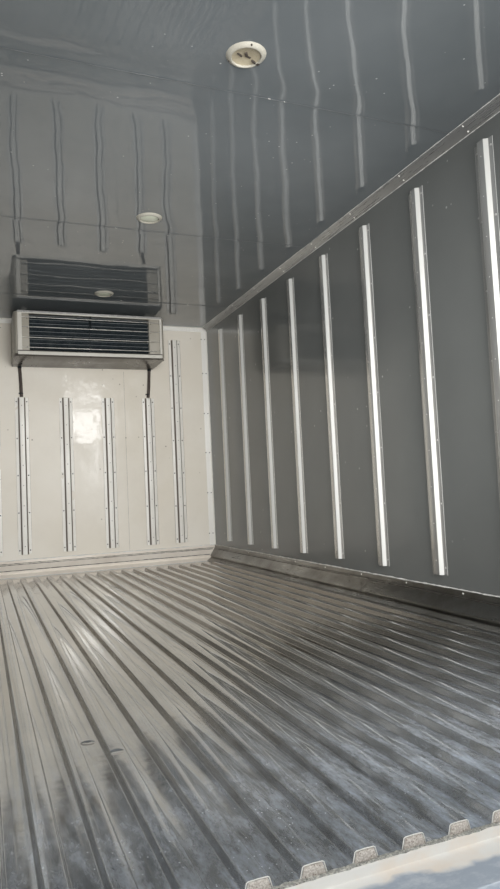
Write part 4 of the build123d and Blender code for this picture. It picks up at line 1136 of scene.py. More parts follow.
@dataclass
class Linings(SubAssembly):
    """Thin inner skins of ceiling, side walls and front wall, with their slight waves.

    Attributes:
        sag_rise: length over which a sagging sheet comes back up to its seam.
        sag_reach: length over which it comes down before that.
    """

    cell: float = 25 * MM
    skin: float = 0.8 * MM
    lap: float = 40 * MM
    ceiling_seams: tuple[float, ...] = (1.18, 2.507, 3.834)
    front_seam: float = 0.329
    wave: float = 0.55 * MM
    ceiling_wave: float = 1.0 * MM
    ceiling_step: float = 0.8 * MM
    front_step: float = 0.6 * MM
    sag: float = 2.8 * MM
    sag_rise: float = 0.15
    sag_reach: float = 0.55
    seam_bead: float = 0.9 * MM
    seam_drop: float = 4.2 * MM
    sealed: int = 2

    def sheet(self, name: str, corner: Vector, across: Vector, along: Vector, inward: Vector,
              finish: str, swell: Callable[[Vector], float], lift: float = 0.0) -> None:
        """Add one skin.

        Args:
            name: the piece's name.
            corner: its corner on the CAD face.
            across: its first side.
            along: its second side.
            inward: unit vector into the load space.
            finish: name of its finish.
            swell: height of the surface at a point.
            lift: how far its face stands above its neighbours'.
        """
        piece = Piece(name)
        columns = max(2, round(across.length / self.cell))
        rows = max(2, round(along.length / self.cell))
        bmesh.ops.create_grid(piece.bm, x_segments=columns, y_segments=rows, size=0.5)
        frame = Matrix((across, along, inward)).transposed().to_4x4()
        middle = corner + (across + along) / 2
        piece.move(Matrix.Translation(middle) @ frame)
        for vert in piece.bm.verts:
            vert.co += inward * (self.skin + lift + swell(vert.co))
        piece.face_towards(inward)
        piece.done(self.paint, finish)

    def ripple(self, scale: float, height: float, seed: float, fine: float = 0.0,
               seam: Optional[float] = None) -> Callable[[Vector], float]:
        """Gentle waves, with a sag before the seam that holds a sheet's far end.

        Args:
            scale: wavelength.
            height: height of the waves.
            seed: shifts the pattern.
            fine: height of short waves on top of them.
            seam: Y of the seam, if the sheet sags before one.

        Returns:
            The height of the surface at a point.
        """
        def eased(share: float) -> float:
            """Smooth step from 0 to 1."""
            share = min(1.0, max(0.0, share))
            return share * share * (3.0 - 2.0 * share)

        def swell(at: Vector) -> float:
            """Height of the surface.

            Args:
                at: a point of the sheet.

            Returns:
                The height there.
            """
            low = noise.noise(at / scale + Vector((seed, 0, 0)))
            high = noise.noise(at / (scale * 0.45) + Vector((0, seed, 0)))
            total = height * (low + 0.4 * high)
            if fine:
                total += fine * noise.noise(at / (scale * 0.28) + Vector((0, 0, seed)))
            if seam is not None:
                back = seam - at.y
                total += (self.sag * eased(back / self.sag_rise)
                          * eased(1.0 - (back - self.sag_rise) / self.sag_reach)
                          * eased((self.room.wall - abs(at.x)) / self.sag_rise))
            return max(-0.5 * self.skin, total)
        return swell

    def build(self) -> None:
        """Make the skins of all four faces, and their seams."""
        room = self.room
        edges = (room.rear, *(room.rear + seam for seam in self.ceiling_seams), room.front)
        last = len(edges) - 2
        for index, (near, far) in enumerate(zip(edges[:-1], edges[1:])):
            run = far - near + (self.lap if index < last else 0.0)
            self.sheet(f"ceiling_sheet_{index}", Vector((-room.wall, near, room.ceiling)),
                       Vector((2 * room.wall, 0, 0)), Vector((0, run, 0)), DOWN,
                       "ceiling_sheet",
                       self.ripple(0.34, self.ceiling_wave, 3.0 * index,
                                   seam=far if index < last else None),
                       self.ceiling_step * (index % 2))
        upright = Vector((0, 0, room.height))
        for side in Side:
            out = side.value
            self.sheet(f"side_lining_{side.word}", room.at(out * room.wall, 0, 0),
                       Vector((0, room.depth, 0)), upright, Vector((-out, 0, 0)),
                       "side_lining", self.ripple(0.55, 1.2 * self.wave, out))
        seam = self.front_seam
        for index, (left, right) in enumerate(((-room.wall, seam), (seam - self.lap, room.wall))):
            self.sheet(f"front_lining_{index}", Vector((left, room.front, room.floor)),
                       Vector((right - left, 0, 0)), upright, REARWARD, "front_lining",
                       self.ripple(0.30, 2.0 * self.wave, 7.0 + index, 1.3 * self.wave),
                       self.front_step * (1 - index))
        self.seams()

    def seams(self) -> None:
        """Thin line along each seam, with sealant left in places on the ceiling."""
        room = self.room
        chance = random.Random(3)
        level = room.height - self.seam_drop
        lines, blobs = Piece("ceiling_seam_lines"), Piece("ceiling_seam_sealant")
        for seam in self.ceiling_seams:
            path = [room.at(x, seam + chance.uniform(-0.8, 0.8) * MM, level)
                    for x in steps(-room.wall + 0.03, room.wall - 0.03, 60)]
            lines.tube(path, [self.seam_bead * chance.uniform(0.7, 1.3) for _ in path])
            for _ in range(self.sealed):
                x = chance.uniform(-0.9, 0.9)
                run = [room.at(x + step, seam + chance.uniform(-1.0, 1.0) * MM, level)
                       for step in steps(0.0, chance.uniform(0.006, 0.015), 5)]
                blobs.tube(run, [self.seam_bead * chance.uniform(0.8, 1.3) for _ in run])
        face = room.depth - self.skin - 1.6 * MM
        path = [room.at(self.front_seam - self.lap, face, z) for z in steps(0.13, 1.60, 30)]
        lines.tube(path, [self.seam_bead * chance.uniform(0.5, 0.9) for _ in path])
        lines.done(self.paint, "seam_line", smooth=60.0)
        blobs.done(self.paint, "sealant", smooth=60.0)


@dataclass
class RibbedFloor(SubAssembly):
    """Floor sheet with pressed ribs, their edges rounded, and the filler at its rear edge.

    Attributes:
        centre: X of the middle between the outermost ribs.
        nose: length of the slope at the ribs' front ends.
        filler_rows: places of the beads of grit behind the rear edge, in millimetres.
    """

    count: int = 20
    pitch: float = 90.4 * MM
    centre: float = 29.2 * MM
    base: float = 45 * MM
    top: float = 35 * MM
    height: float = 18 * MM
    length: float = 4.165
    nose: float = 8 * MM
    sheet: float = 2 * MM
    top_round: float = 2.5 * MM
    foot_round: float = 2.0 * MM
    row: float = 60 * MM
    wave: float = 0.35 * MM
    wave_fade: float = 0.1
    crown: float = 0.9 * MM
    filler_rows: tuple[float, ...] = (-1.5, -5.0, -8.5)

    def middles(self) -> list[float]:
        """X of every rib."""
        return [self.centre + (index - (self.count - 1) / 2) * self.pitch
                for index in range(self.count)]

    def section(self) -> list[Corner]:
        """Corners across the floor.

        Returns:
            Place, height and rounding of each.
        """
        corners = [(-self.room.wall, 0.0, 0.0)]
        for middle in self.middles():
            corners += [
                (middle - self.base / 2, 0.0, self.foot_round),
                (middle - self.top / 2, self.height, self.top_round),
                (middle, self.height + self.crown, 0.0),
                (middle + self.top / 2, self.height, self.top_round),
                (middle + self.base / 2, 0.0, self.foot_round),
            ]
        return corners + [(self.room.wall, 0.0, 0.0)]

    def swell(self, at: Vector) -> float:
        """Slow waves of the sheet, nothing at its edges.

        Args:
            at: a point of the sheet.

        Returns:
            The height there.
        """
        fade = min(1.0, (at.y - self.room.rear) / self.wave_fade,
                   (self.room.front - at.y) / self.wave_fade)
        wave = noise.noise(Vector((at.x / 0.10, at.y / 0.22, 0.3)))
        return self.wave * wave * max(0.0, fade)

    def row_places(self) -> list[float]:
        """Rows of the sheet after the first.

        Returns:
            Distance of each from the rear edge.
        """
        rib_rows = round((self.length - self.nose) / self.row)
        places = [self.row * index for index in range(2, rib_rows)]
        places += [self.length - self.nose, self.length]
        return places + steps(self.length + self.row, self.room.depth, 5)

    def skin(self) -> None:
        """The whole sheet: one row with rounded corners, pushed forward row by row."""
        room = self.room
        piece = Piece("ribbed_floor")
        corners = self.section()
        line = [piece.bm.verts.new(room.at(x, 0.0, z)) for x, z, _ in corners]
        first = [piece.bm.edges.new(pair) for pair in zip(line[:-1], line[1:])]
        ahead, _ = next_row(piece.bm, first)
        bmesh.ops.translate(piece.bm, verts=ahead, vec=(0, self.row, 0))
        for radius in (self.top_round, self.foot_round):
            folds = [next(e for e in vert.link_edges if abs(e.verts[0].co.y - e.verts[1].co.y)
                          > self.row / 2)
                     for vert, corner in zip(line, corners) if corner[2] == radius]
            round_edges(piece.bm, folds, radius)
        reach = room.rear + self.row
        edges = [edge for edge in piece.bm.edges
                 if all(abs(vert.co.y - reach) < 0.1 * MM for vert in edge.verts)]
        for place in self.row_places():
            ahead, edges = next_row(piece.bm, edges)
            for vert in ahead:
                vert.co.y = room.rear + place
                if place > self.length - self.nose / 2:
                    vert.co.z = room.floor
        for vert in piece.bm.verts:
            vert.co.z += self.swell(vert.co)
        piece.face_towards(UP)
        bmesh.ops.solidify(piece.bm, geom=piece.bm.faces[:], thickness=self.sheet)
        piece.done(self.paint, "floor_steel", smooth=50.0, stands_for=("floor_plate",))

    def filler(self) -> None:
        """Sandy grit along the step behind the rear edge."""
        chance = random.Random(5)
        piece = Piece("edge_filler")
        places = steps(-self.room.wall + 6 * MM, self.room.wall - 6 * MM, 200)
        for back in self.filler_rows:
            path = [self.room.at(x, (back + chance.uniform(-1.3, 1.3)) * MM, -0.6 * MM)
                    for x in places]
            piece.tube(path, [chance.uniform(1.3, 2.9) * MM for _ in path], 8)
        piece.done(self.paint, "edge_grit", smooth=60.0)

    def rib_edges(self) -> None:
        """Painted highlight: a pale tube round the end of each rib, for the light that the sheet's
        cut edge reflects.
        """
        piece = Piece("rib_cut_edges")
        foot, shoulder = self.base / 2, self.top / 2
        under_top, in_top = self.height - 2 * MM, self.height - 0.6 * MM
        outline = (
            (-foot, 0.0), (-shoulder - 0.6 * MM, under_top), (-shoulder + 2 * MM, in_top),
            (0.0, self.height), (shoulder - 2 * MM, in_top), (shoulder + 0.6 * MM, under_top),
            (foot, 0.0))
        for middle in self.middles():
            path = [self.room.at(middle + x, -0.2 * MM, z) for x, z in outline]
            piece.tube(path, [0.9 * MM] * len(path))
        piece.done(self.paint, "corner_metal", smooth=60.0)

    def build(self) -> None:
        """Make sheet, filler and the painted highlights on the cut edges."""
        self.skin()
        self.filler()
        self.rib_edges()


@dataclass
class HatStrips(SubAssembly):
    """Hat strips on the walls with rounded edges, their rivets and screws.

    Attributes:
        end_gap: from a strip's end to its first rivet, and half the way to its first screw.
    """

    width: float = 105 * MM
    top: float = 37 * MM
    flank: float = 9 * MM
    height: float = 19 * MM
    sheet: float = 2 * MM
    lip: float = 2.6 * MM
    side_first: float = 0.160
    side_pitch: float = 0.4423
    side_count: int = 10
    side_span: tuple[float, float] = (0.172, 1.898)
    front_short: tuple[float, ...] = (-0.519, -0.184, 0.151, 0.486)
    front_short_span: tuple[float, float] = (0.160, 1.377)
    front_long: tuple[float, ...] = (-0.731, 0.731)
    front_long_span: tuple[float, float] = (0.160, 1.880)
    rivet_in: float = 39 * MM
    rivet_pitch: float = 0.280
    screw_pitch: float = 0.161
    end_gap: float = 31 * MM

    def outline(self) -> list[Corner]:
        """Corners of the section.

        Returns:
            Place along the wall, height off it, rounding.
        """
        top, foot, half = self.top / 2, self.top / 2 + self.flank, self.width / 2
        crown, inset = self.height - self.sheet, 1 * MM
        fine, broad = 0.5 * MM, 2.2 * MM
        right = [(half, 0.0, 0.0), (half - self.lip, self.sheet, fine),
                 (foot, self.sheet, fine), (top, self.height, broad)]
        left = [(-a, b, r) for a, b, r in reversed(right)]
        under = [(inset - foot, 0.0, 0.0), (inset - top, crown, 0.0),
                 (top - inset, crown, 0.0), (foot - inset, 0.0, 0.0)]
        return right + left + under

    def head_points(self, foot: Vector, across: Vector, off: Vector,
                    length: float) -> tuple[list[Vector], list[Vector]]:
        """Points of a strip's fixings.

        Args:
            foot: middle of the strip's lower end, on the wall.
            across: unit vector along the wall.
            off: unit vector off the wall.
            length: the strip's length.

        Returns:
            Points of the rivets on both flanges and of the screws on the top.
        """
        first, last = self.end_gap, length - self.end_gap
        levels = steps(first, last, round((last - first) / self.rivet_pitch) + 1)
        rivets = [foot + across * (a * self.rivet_in) + off * self.sheet + UP * z
                  for a in (-1, 1) for z in levels]
        count = round((length - 2 * self.end_gap) / self.screw_pitch) + 1
        screws = [foot + off * self.height + UP * z
                  for z in steps(2 * self.end_gap, length - 2 * self.end_gap, count)]
        return rivets, screws

    def wall(self, name: str, feet: Iterable[tuple[Vector, float]], across: Vector,
             off: Vector, node: str, heads: str = "strip_metal") -> None:
        """Make the strips of one wall.

        Args:
            name: the strips' name; their fixings' name follows it.
            feet: foot and length of each strip.
            across: unit vector along the wall.
            off: unit vector off the wall.
            node: the CAD node that the strips replace.
            heads: finish of the fixings.
        """
        strips = Piece(name)
        fixings = Piece(f"{name}_rivets")
        rivet = dome_mesh(5.0 * MM, 1.8 * MM)
        screw = dome_mesh(3.0 * MM, 1.2 * MM)
        for foot, length in feet:
            strips.bar(self.outline(), lambda a, b: foot + across * a + off * b,
                       Vector((0, 0, length)), 3)
            rivets, screws = self.head_points(foot, across, off, length)
            fixings.heads(rivet, off, rivets)
            fixings.heads(screw, off, screws)
        strips.done(self.paint, NODE_FINISH[node], stands_for=(node,))
        fixings.done(self.paint, heads, smooth=50.0)

    def build(self) -> None:
        """Make the strips of all three walls."""
        room = self.room
        low, high = self.side_span
        for side in Side:
            feet = [(room.at(side.value * room.wall, self.side_first + i * self.side_pitch, low),
                     high - low) for i in range(self.side_count)]
            self.wall(f"hat_strips_{side.word}", feet, Vector((0, side.value, 0)),
                      Vector((-side.value, 0, 0)), f"wall_strips_{side.word}")
        feet = [(room.at(x, room.depth, low), high - low)
                for places, (low, high) in ((self.front_short, self.front_short_span),
                                            (self.front_long, self.front_long_span))
                for x in places]
        self.wall("hat_strips_front", feet, Vector((1, 0, 0)), REARWARD, "front_strips",
                  "dirt_line")


@dataclass(frozen=True)
class Bead:
    """A kind of ragged bead: its radius, how far it wanders, and its finish."""

    radius: float
    wander: float
    finish: str


KICK_SEALANT = Bead(3.2 * MM, 1.6 * MM, "sealant")
# Dark lines of painted shade in the side kick rails' folds
KICK_SHADE_LINE = Bead(1.6 * MM, 1.2 * MM, "dirt_line")
COVE_SEALANT = Bead(1.7 * MM, 0.6 * MM, "sealant")
FRONT_SEALANT = Bead(4.0 * MM, 2.4 * MM, "sealant")
# Dark lines of painted shade in the front kick rail's folds and under its nose
FRONT_SHADE_LINE = Bead(2.2 * MM, 1.2 * MM, "dirt_line")
FLOOR_SEALANT = Bead(3.4 * MM, 1.4 * MM, "sealant")


@dataclass
class EdgeTrims(SubAssembly):
    """Fixings and sealant of the cove trims, corner trims and kick rails.

    Attributes:
        cover_section: a joint cover's corners: distance from the wall, height, rounding.
        cover_bolt: distance from the wall and height of a joint cover's bolts.
        cover_rise: direction in which the cover's slope faces, on the right-hand side.
        cove_rivet: from each wall strip to the cove trim's rivets.
    """

    kick_top: float = 0.121
    kick_reach: float = 0.112
    cover_span: tuple[float, float] = (2.06, 2.24)
    cover_section: tuple[Corner, ...] = in_mm(
        (0, 0, 0), (113.6, 0, 0), (113.6, 6.5, 1), (64, 25, 1), (69.8, 34, 1.5),
        (67.8, 45.2, 1.5), (61, 49.6, 1), (18.6, 89, 1), (18.6, 95.6, 1), (0, 98, 0))
    cover_bolt: tuple[float, float] = (40 * MM, 68.5 * MM)
    cover_lift: float = 1.6 * MM
    cover_rise: Point = (-40.0, 0.0, 43.0)
    cove_down: float = 32 * MM
    cove_in: float = 44 * MM
    cove_rivet: float = 0.07
    corner_rivet_x: float = 0.985
    corner_rivets: tuple[float, ...] = (0.22, 0.566, 0.911, 1.25, 1.60, 1.90)
    rail_rivet_first: float = 0.14
    rail_rivet_pitch: float = 0.40
    rail_rivet_count: int = 11
    rail_rivet_level: float = 0.108
    bead_cell: float = 18 * MM

    def bead(self, name: str, kind: Bead, seed: int, start: Vector, end: Vector) -> None:
        """Make a ragged bead of sealant, or a dark line of painted shade.

        Args:
            name: the piece's name.
            kind: what it is.
            seed: chooses its shape.
            start: its one end.
            end: its other end.
        """
        chance = random.Random(seed)
        count = max(3, round((end - start).length / self.bead_cell))
        path, radii = [], []
        for index in range(count + 1):
            at = start.lerp(end, index / count)
            shift = [noise.noise(at / 0.05 + Vector((seed, k, 0))) * kind.wander
                     for k in range(3)]
            path.append(at + Vector(shift))
            radii.append(kind.radius * chance.uniform(0.6, 1.4))
        piece = Piece(name)
        piece.tube(path, radii)
        piece.done(self.paint, kind.finish, smooth=60.0)

    def side_beads(self) -> None:
        """Sealant over the side kick rails and round the cove trims, and dark lines of painted
        shade in the rails' folds.
        """
        room = self.room
        # Name, kind, seed, distance from the wall, height, place of the near end, gap ahead
        table = (
            ("kick_sealant_{}", KICK_SEALANT, 11, 4 * MM, self.kick_top, 0.0, 0.02),
            ("kick_dirt_{}_0", KICK_SHADE_LINE, 21, 17 * MM, 90 * MM, 0.02, 0.13),
            ("kick_dirt_{}_1", KICK_SHADE_LINE, 23, 60 * MM, 26 * MM, 0.02, 0.13),
            ("cove_sealant_{}_0", COVE_SEALANT, 61, 1.5 * MM,
             room.height - (self.cove_down + 1 * MM), 0.02, 0.01),
            ("cove_sealant_{}_1", COVE_SEALANT, 63, self.cove_in + 1 * MM,
             room.height - 1.5 * MM, 0.02, 0.01),
        )
        for side in Side:
            for name, kind, seed, away, up, near, gap in table:
                x = side.value * (room.wall - away)
                self.bead(name.format(side.word), kind, seed + side.value,
                          room.at(x, near, up), room.at(x, room.depth - gap, up))

    def front_beads(self) -> None:
        """Sealant over and under the front kick rail, and dark lines of painted shade in its folds
        and under its nose.
        """
        room = self.room
        # Name, kind, seed, distance from the front wall, height, distance from the side walls
        table = (
            ("kick_sealant_front", FRONT_SEALANT, 31, 4 * MM, self.kick_top, 0.0),
            ("kick_dirt_front_0", FRONT_SHADE_LINE, 41, 8 * MM, 96 * MM, 20 * MM),
            ("kick_dirt_front_1", FRONT_SHADE_LINE, 42, 18 * MM, 88 * MM, 30 * MM),
            ("kick_dirt_front_2", FRONT_SHADE_LINE, 43, 64 * MM, 48.5 * MM, 75 * MM),
            ("floor_sealant_front", FLOOR_SEALANT, 51, self.kick_reach, 0.0, self.kick_reach),
        )
        for name, kind, seed, away, up, inset in table:
            end, y = room.wall - inset, room.depth - away
            self.bead(name, kind, seed, room.at(-end, y, up), room.at(end, y, up))

    def joint_covers(self) -> None:
        """Cover plates over the joints of the side kick rails, with two bolts each."""
        room = self.room
        low, high = self.cover_span
        piece = Piece("kick_joint_covers")
        for side in Side:
            piece.bar(self.cover_section,
                      lambda away, up: room.at(side.value * (room.wall - away), low, up),
                      Vector((0, high - low, 0)))
        head = dome_mesh(5.0 * MM, 2.0 * MM)
        slope = Vector(self.cover_rise).normalized()
        away, up = self.cover_bolt
        for side in Side:
            normal = Vector((slope.x * side.value, 0.0, slope.z))
            piece.heads(head, normal, [
                room.at(side.value * (room.wall - away), y, up) + normal * self.cover_lift
                for y in (low + 0.03, high - 0.03)])
        piece.done(self.paint, "kick_metal")

    def rivets(self) -> None:
        """Rivets of cove trims, corner trims and kick rails."""
        room = self.room
        piece, dark = Piece("trim_rivets"), Piece("corner_rivets")
        head = dome_mesh(4.6 * MM, 1.8 * MM)
        strips = HatStrips(room, self.paint)
        slant = Vector((-self.cove_down, 0.0, -self.cove_in)).normalized()
        for side in Side:
            out = side.value
            piece.heads(head, (slant.x * out, 0.0, slant.z), [
                Vector((out * (room.wall - self.cove_in * share),
                        room.rear + (strips.side_first + index * strips.side_pitch
                                     + self.cove_rivet),
                        room.ceiling - self.cove_down * (1 - share)))
                for index in range(strips.side_count) for share in (0.22, 0.78)])
            dark.heads(head, REARWARD, [
                room.at(out * x, room.depth - 3 * MM, level) for level in self.corner_rivets
                for x in (self.corner_rivet_x - 8 * MM, self.corner_rivet_x + 24 * MM)])
            piece.heads(head, (-out, 0, 0), [
                room.at(out * (room.wall - 6 * MM),
                        self.rail_rivet_first + index * self.rail_rivet_pitch,
                        self.rail_rivet_level)
                for index in range(self.rail_rivet_count)])
        piece.done(self.paint, "corner_metal", smooth=50.0)
        dark.done(self.paint, "dirt_line", smooth=50.0)

    def build(self) -> None:
        """Make sealant, dirt, joint covers and rivets."""
        self.side_beads()
        self.front_beads()
        self.joint_covers()
        self.rivets()


@dataclass
class CeilingLamps(SubAssembly):
    """Three round lamps; the rear one has lost its lens.

    Attributes:
        socket_parts: what stands in the bare socket, in millimetres: place across and
            along, half width, half length, drop; and the turn in radians.
    """

    places: tuple[float, ...] = (0.976, 2.331, 3.686)
    radius: float = 68 * MM
    depth: float = 14 * MM
    rim: float = 20 * MM
    lens_drop: float = 10 * MM
    socket_parts: tuple[tuple[float, ...], ...] = (
        (-22, 0, 11, 2.6, 11, 0.54), (-3, -9, 4.5, 9, 12, -0.44), (9, 3, 9, 3.5, 9, 0.3),
        (33, 17, 9, 2.4, 14.6, 0.46), (49, 22, 5, 6, 14.6, 0.45), (-5, -60, 2.4, 2.4, 13.0, 0.0),
        (-47, 36, 2.4, 2.4, 13.0, 0.0))

    def ring(self, piece: Piece, centre: Vector) -> None:
        """Add one sloping ring with rounded edges.

        Args:
            piece: piece that takes it.
            centre: middle of the lamp.
        """
        inner = self.radius - self.rim
        piece.lathe([
            (self.radius, 0.0), (self.radius, 2 * MM), (self.radius - 3 * MM, 6 * MM),
            (self.radius - 9 * MM, 11 * MM), (self.radius - 14 * MM, self.depth),
            (inner + 2 * MM, self.depth), (inner, self.depth - 2 * MM), (inner - 1 * MM, 0.0),
        ], centre, DOWN, 44)

    def lens(self, piece: Piece, centre: Vector, inner: float) -> None:
        """Add one bulged lens.

        Args:
            piece: piece that takes it.
            centre: middle of the lamp.
            inner: its radius.
        """
        drop = self.lens_drop
        piece.lathe([(0, drop + 5 * MM), (inner * 0.4, drop + 4 * MM),
                     (inner * 0.8, drop + 1 * MM), (inner, drop - 3 * MM), (inner, 0), (0, 0)],
                    centre, DOWN, 40)

    def socket(self, dish: Piece, bits: Piece, centre: Vector, inner: float) -> None:
        """Add the bare socket.

        Args:
            dish: piece that takes its dish.
            bits: piece that takes the holder, clips and screws in it.
            centre: middle of the lamp.
            inner: the dish's radius.
        """
        dish.lathe([(0, 7 * MM), (inner * 0.9, 7 * MM), (inner, 9 * MM), (inner, 0), (0, 0)],
                   centre, DOWN, 40)
        for x, y, half_x, half_y, drop, turn in self.socket_parts:
            known = set(bits.bm.verts)
            bits.block((-half_x * MM, -half_y * MM, -drop * MM), (half_x * MM, half_y * MM, 0),
                       0.8 * MM, 1)
            place = Matrix.Translation(centre + Vector((x, y, 0)) * MM)
            bmesh.ops.transform(bits.bm, matrix=place @ Matrix.Rotation(turn, 4, "Z"),
                                verts=bits.fresh(known))

    def build(self) -> None:
        """Make rings, lenses and the bare socket."""
        rings, lenses = Piece("lamp_rings"), Piece("lamp_lenses")
        dish, bits = Piece("lamp_dish"), Piece("lamp_socket_parts")
        inner = self.radius - self.rim - 1 * MM
        for index, place in enumerate(self.places):
            centre = Vector((0, self.room.rear + place, self.room.ceiling))
            self.ring(rings, centre)
            if index > 0:
                self.lens(lenses, centre, inner)
            else:
                self.socket(dish, bits, centre, inner)
        rings.done(self.paint, "lamp_plastic", stands_for=("ceiling_lamps",))
        lenses.done(self.paint, "lens_plastic", smooth=60.0)
        dish.done(self.paint, "dish_plastic")
        bits.done(self.paint, "dirt_line")


@dataclass
class Evaporator(SubAssembly):
    """Fine parts of the ceiling unit: guard, slats, rails, screws, hoses and clamps.

    Attributes:
        middle: X of the short stay between the wires.
        slat_section: a slat's corners: place from its middle, height, rounding.
        end_gap: from an end of the face to the screws of the end panel.
    """

    left: float = -0.560
    right: float = 0.508
    open_left: float = -0.478
    open_right: float = 0.412
    face: float = 4.080
    low: float = 1.620
    high: float = 1.950
    lip: float = 42 * MM
    fold: float = 16 * MM
    wire: float = 3.6 * MM
    wire_in: float = 6 * MM
    levels: tuple[float, ...] = (1.684, 1.758, 1.836, 1.908)
    middle: float = -0.033
    divider: float = -0.040
    slat_count: int = 9
    slat_place: float = 4.130
    slat_first: float = 1.682
    slat_last: float = 1.918
    slat_section: tuple[Corner, ...] = in_mm(
        (-15, 8.0, 0.6), (-15, 10.6, 0.9), (-4, 4.6, 3.0), (15, -7.6, 0.5), (15, -10.0, 0.5),
        (-4, 2.2, 3.0))
    end_gap: float = 25 * MM
    end_screws: tuple[float, ...] = (4.18, 4.32, 4.46)
    hoses: tuple[tuple[float, float], ...] = ((-0.528, -0.519), (0.503, 0.486))
    hose_radius: float = 12.5 * MM
    hose_low: float = 1.382
    hose_off: float = 16 * MM
    hose_bend: Point = (1.2 * MM, -1.5 * MM, 0)

    def guard(self) -> None:
        """Four long wires between two angles."""
        room = self.room
        y = self.face + self.wire_in
        wires = Piece("evaporator_guard_wires")
        for level in self.levels:
            wires.rod(room.at(self.left + 1 * MM, y, level), room.at(self.right - 1 * MM, y, level),
                      self.wire)
        angles = Piece("evaporator_guard_angles")
        foot = self.low + self.lip
        for edge, inward, wide in ((self.left, 1, 30 * MM), (self.right, -1, 15 * MM)):
            tip, heel = edge + inward * wide, edge + inward * 2 * MM
            section = [(edge, 0.0, 0.8 * MM), (tip, 0.0, 0.5 * MM), (tip, 2 * MM, 0.5 * MM),
                       (heel, 2 * MM, 0.0), (heel, 14 * MM, 0.5 * MM), (edge, 14 * MM, 0.5 * MM)]
            angles.bar(section, lambda x, back: room.at(x, self.face + back, foot),
                       Vector((0, 0, self.high - self.fold - self.low - self.lip)))
        wires.done(self.paint, "guard_wire", stands_for=("evaporator_guard",))
        angles.done(self.paint, "unit_metal")

    def slats(self) -> None:
        """Curved dark slats, with paler rods along their front edges as painted highlights."""
        room = self.room
        piece, edges = Piece("evaporator_slats"), Piece("evaporator_slat_edges")
        width = Vector((self.open_right - self.open_left, 0, 0))
        front = self.slat_place - 15.5 * MM
        for level in steps(self.slat_first, self.slat_last, self.slat_count):
            piece.bar(self.slat_section, lambda back, up: room.at(
                self.open_left, self.slat_place + back, level + up), width)
            # Painted highlight: a pale rod along each slat's front edge
            edges.rod(room.at(self.open_left, front, level + 9.3 * MM),
                      room.at(self.open_right, front, level + 9.3 * MM), 1.5 * MM, 8)
        piece.done(self.paint, "slat_plastic", stands_for=("evaporator_louvres",))
        edges.done(self.paint, "slat_edge")

    def stay(self) -> None:
        """Divider of the slats, and a short dark stay behind the wires."""
        room = self.room
        stay = Piece("evaporator_wire_stay")
        stay.block(room.at(self.divider - 2.5 * MM, self.slat_place - 17 * MM,
                           self.slat_first - 12 * MM),
                   room.at(self.divider + 2.5 * MM, self.slat_place + 15 * MM,
                           self.slat_last + 12 * MM), 0.8 * MM)
        y = self.face + self.wire_in + self.wire
        stay.rod(room.at(self.middle, y, self.levels[2] - 6 * MM),
                 room.at(self.middle, y, self.high - self.fold), self.wire)
        stay.done(self.paint, "dark_plastic")

    def rails(self) -> None:
        """Rolled rail over the outlet and flat edge strip on the pan's lip."""
        room = self.room
        for name, low, high, finish in (
            ("evaporator_top_rail", self.high - 9 * MM, self.high + 5 * MM, "rail_metal"),
            ("evaporator_lip_strip", self.low + 10 * MM, self.low + self.lip - 7 * MM,
             "unit_metal"),
        ):
            piece = Piece(name)
            piece.block(room.at(self.left, self.face - 2 * MM, low),
                        room.at(self.right, self.face + 4 * MM, high), 1.6 * MM, 3)
            piece.done(self.paint, finish)

    def screws(self) -> None:
        """Screws on the cheeks beside the outlet and on the end panels."""
        room = self.room
        piece = Piece("evaporator_screws")
        head = dome_mesh(3.6 * MM, 1.6 * MM)
        piece.heads(head, REARWARD, [
            room.at(x, self.face + 16 * MM, level)
            for x in (self.open_left - 14 * MM, self.open_right + 14 * MM)
            for level in steps(self.low + 0.07, self.high - 0.05, 4)])
        for out, x in ((1, self.right + self.end_gap), (-1, self.left - self.end_gap)):
            piece.heads(head, (out, 0, 0), [
                room.at(x, along, level) for along in self.end_screws
                for level in (self.low + 0.07, self.high - 0.04)])
        piece.done(self.paint, "pan_metal", smooth=50.0)

    def drain_hoses(self) -> None:
        """Smooth hoses with a collar at the pan and a clamp over the strip."""
        room = self.room
        depth = room.depth - self.hose_off
        hose, clamps = Piece("smooth_hoses"), Piece("hose_clamps")
        side, back, _ = self.hose_bend
        half = Vector((5, 4, 5)) * MM
        for top, foot in self.hoses:
            start, end = room.at(top, depth, self.low), room.at(foot, depth, self.hose_low)
            path = []
            for share in steps(0.0, 1.0, 14):
                bend = math.sin(math.pi * share)
                path.append(start.lerp(end, share) + Vector((side * bend, back * bend, 0)))
            hose.tube(path, [self.hose_radius] * len(path), 20)
            clamps.rod(path[0] - Vector((0, 0, 14 * MM)), path[0], self.hose_radius + 2.5 * MM, 20)
            low = end + Vector((0, 0, 22 * MM))
            clamps.rod(low, low + Vector((0, 0, 9 * MM)), self.hose_radius + 1.4 * MM, 20)
            tab = low + Vector((-self.hose_radius - 3 * MM, 0, 4.5 * MM))
            clamps.block(tab - half, tab + half, 1 * MM)
        hose.done(self.paint, "hose_rubber", stands_for=("drain_hoses",))
        clamps.done(self.paint, "dark_plastic")

    def build(self) -> None:
        """Make every fine part."""
        self.guard()
        self.slats()
        self.stay()
        self.rails()
        self.screws()
        self.drain_hoses()


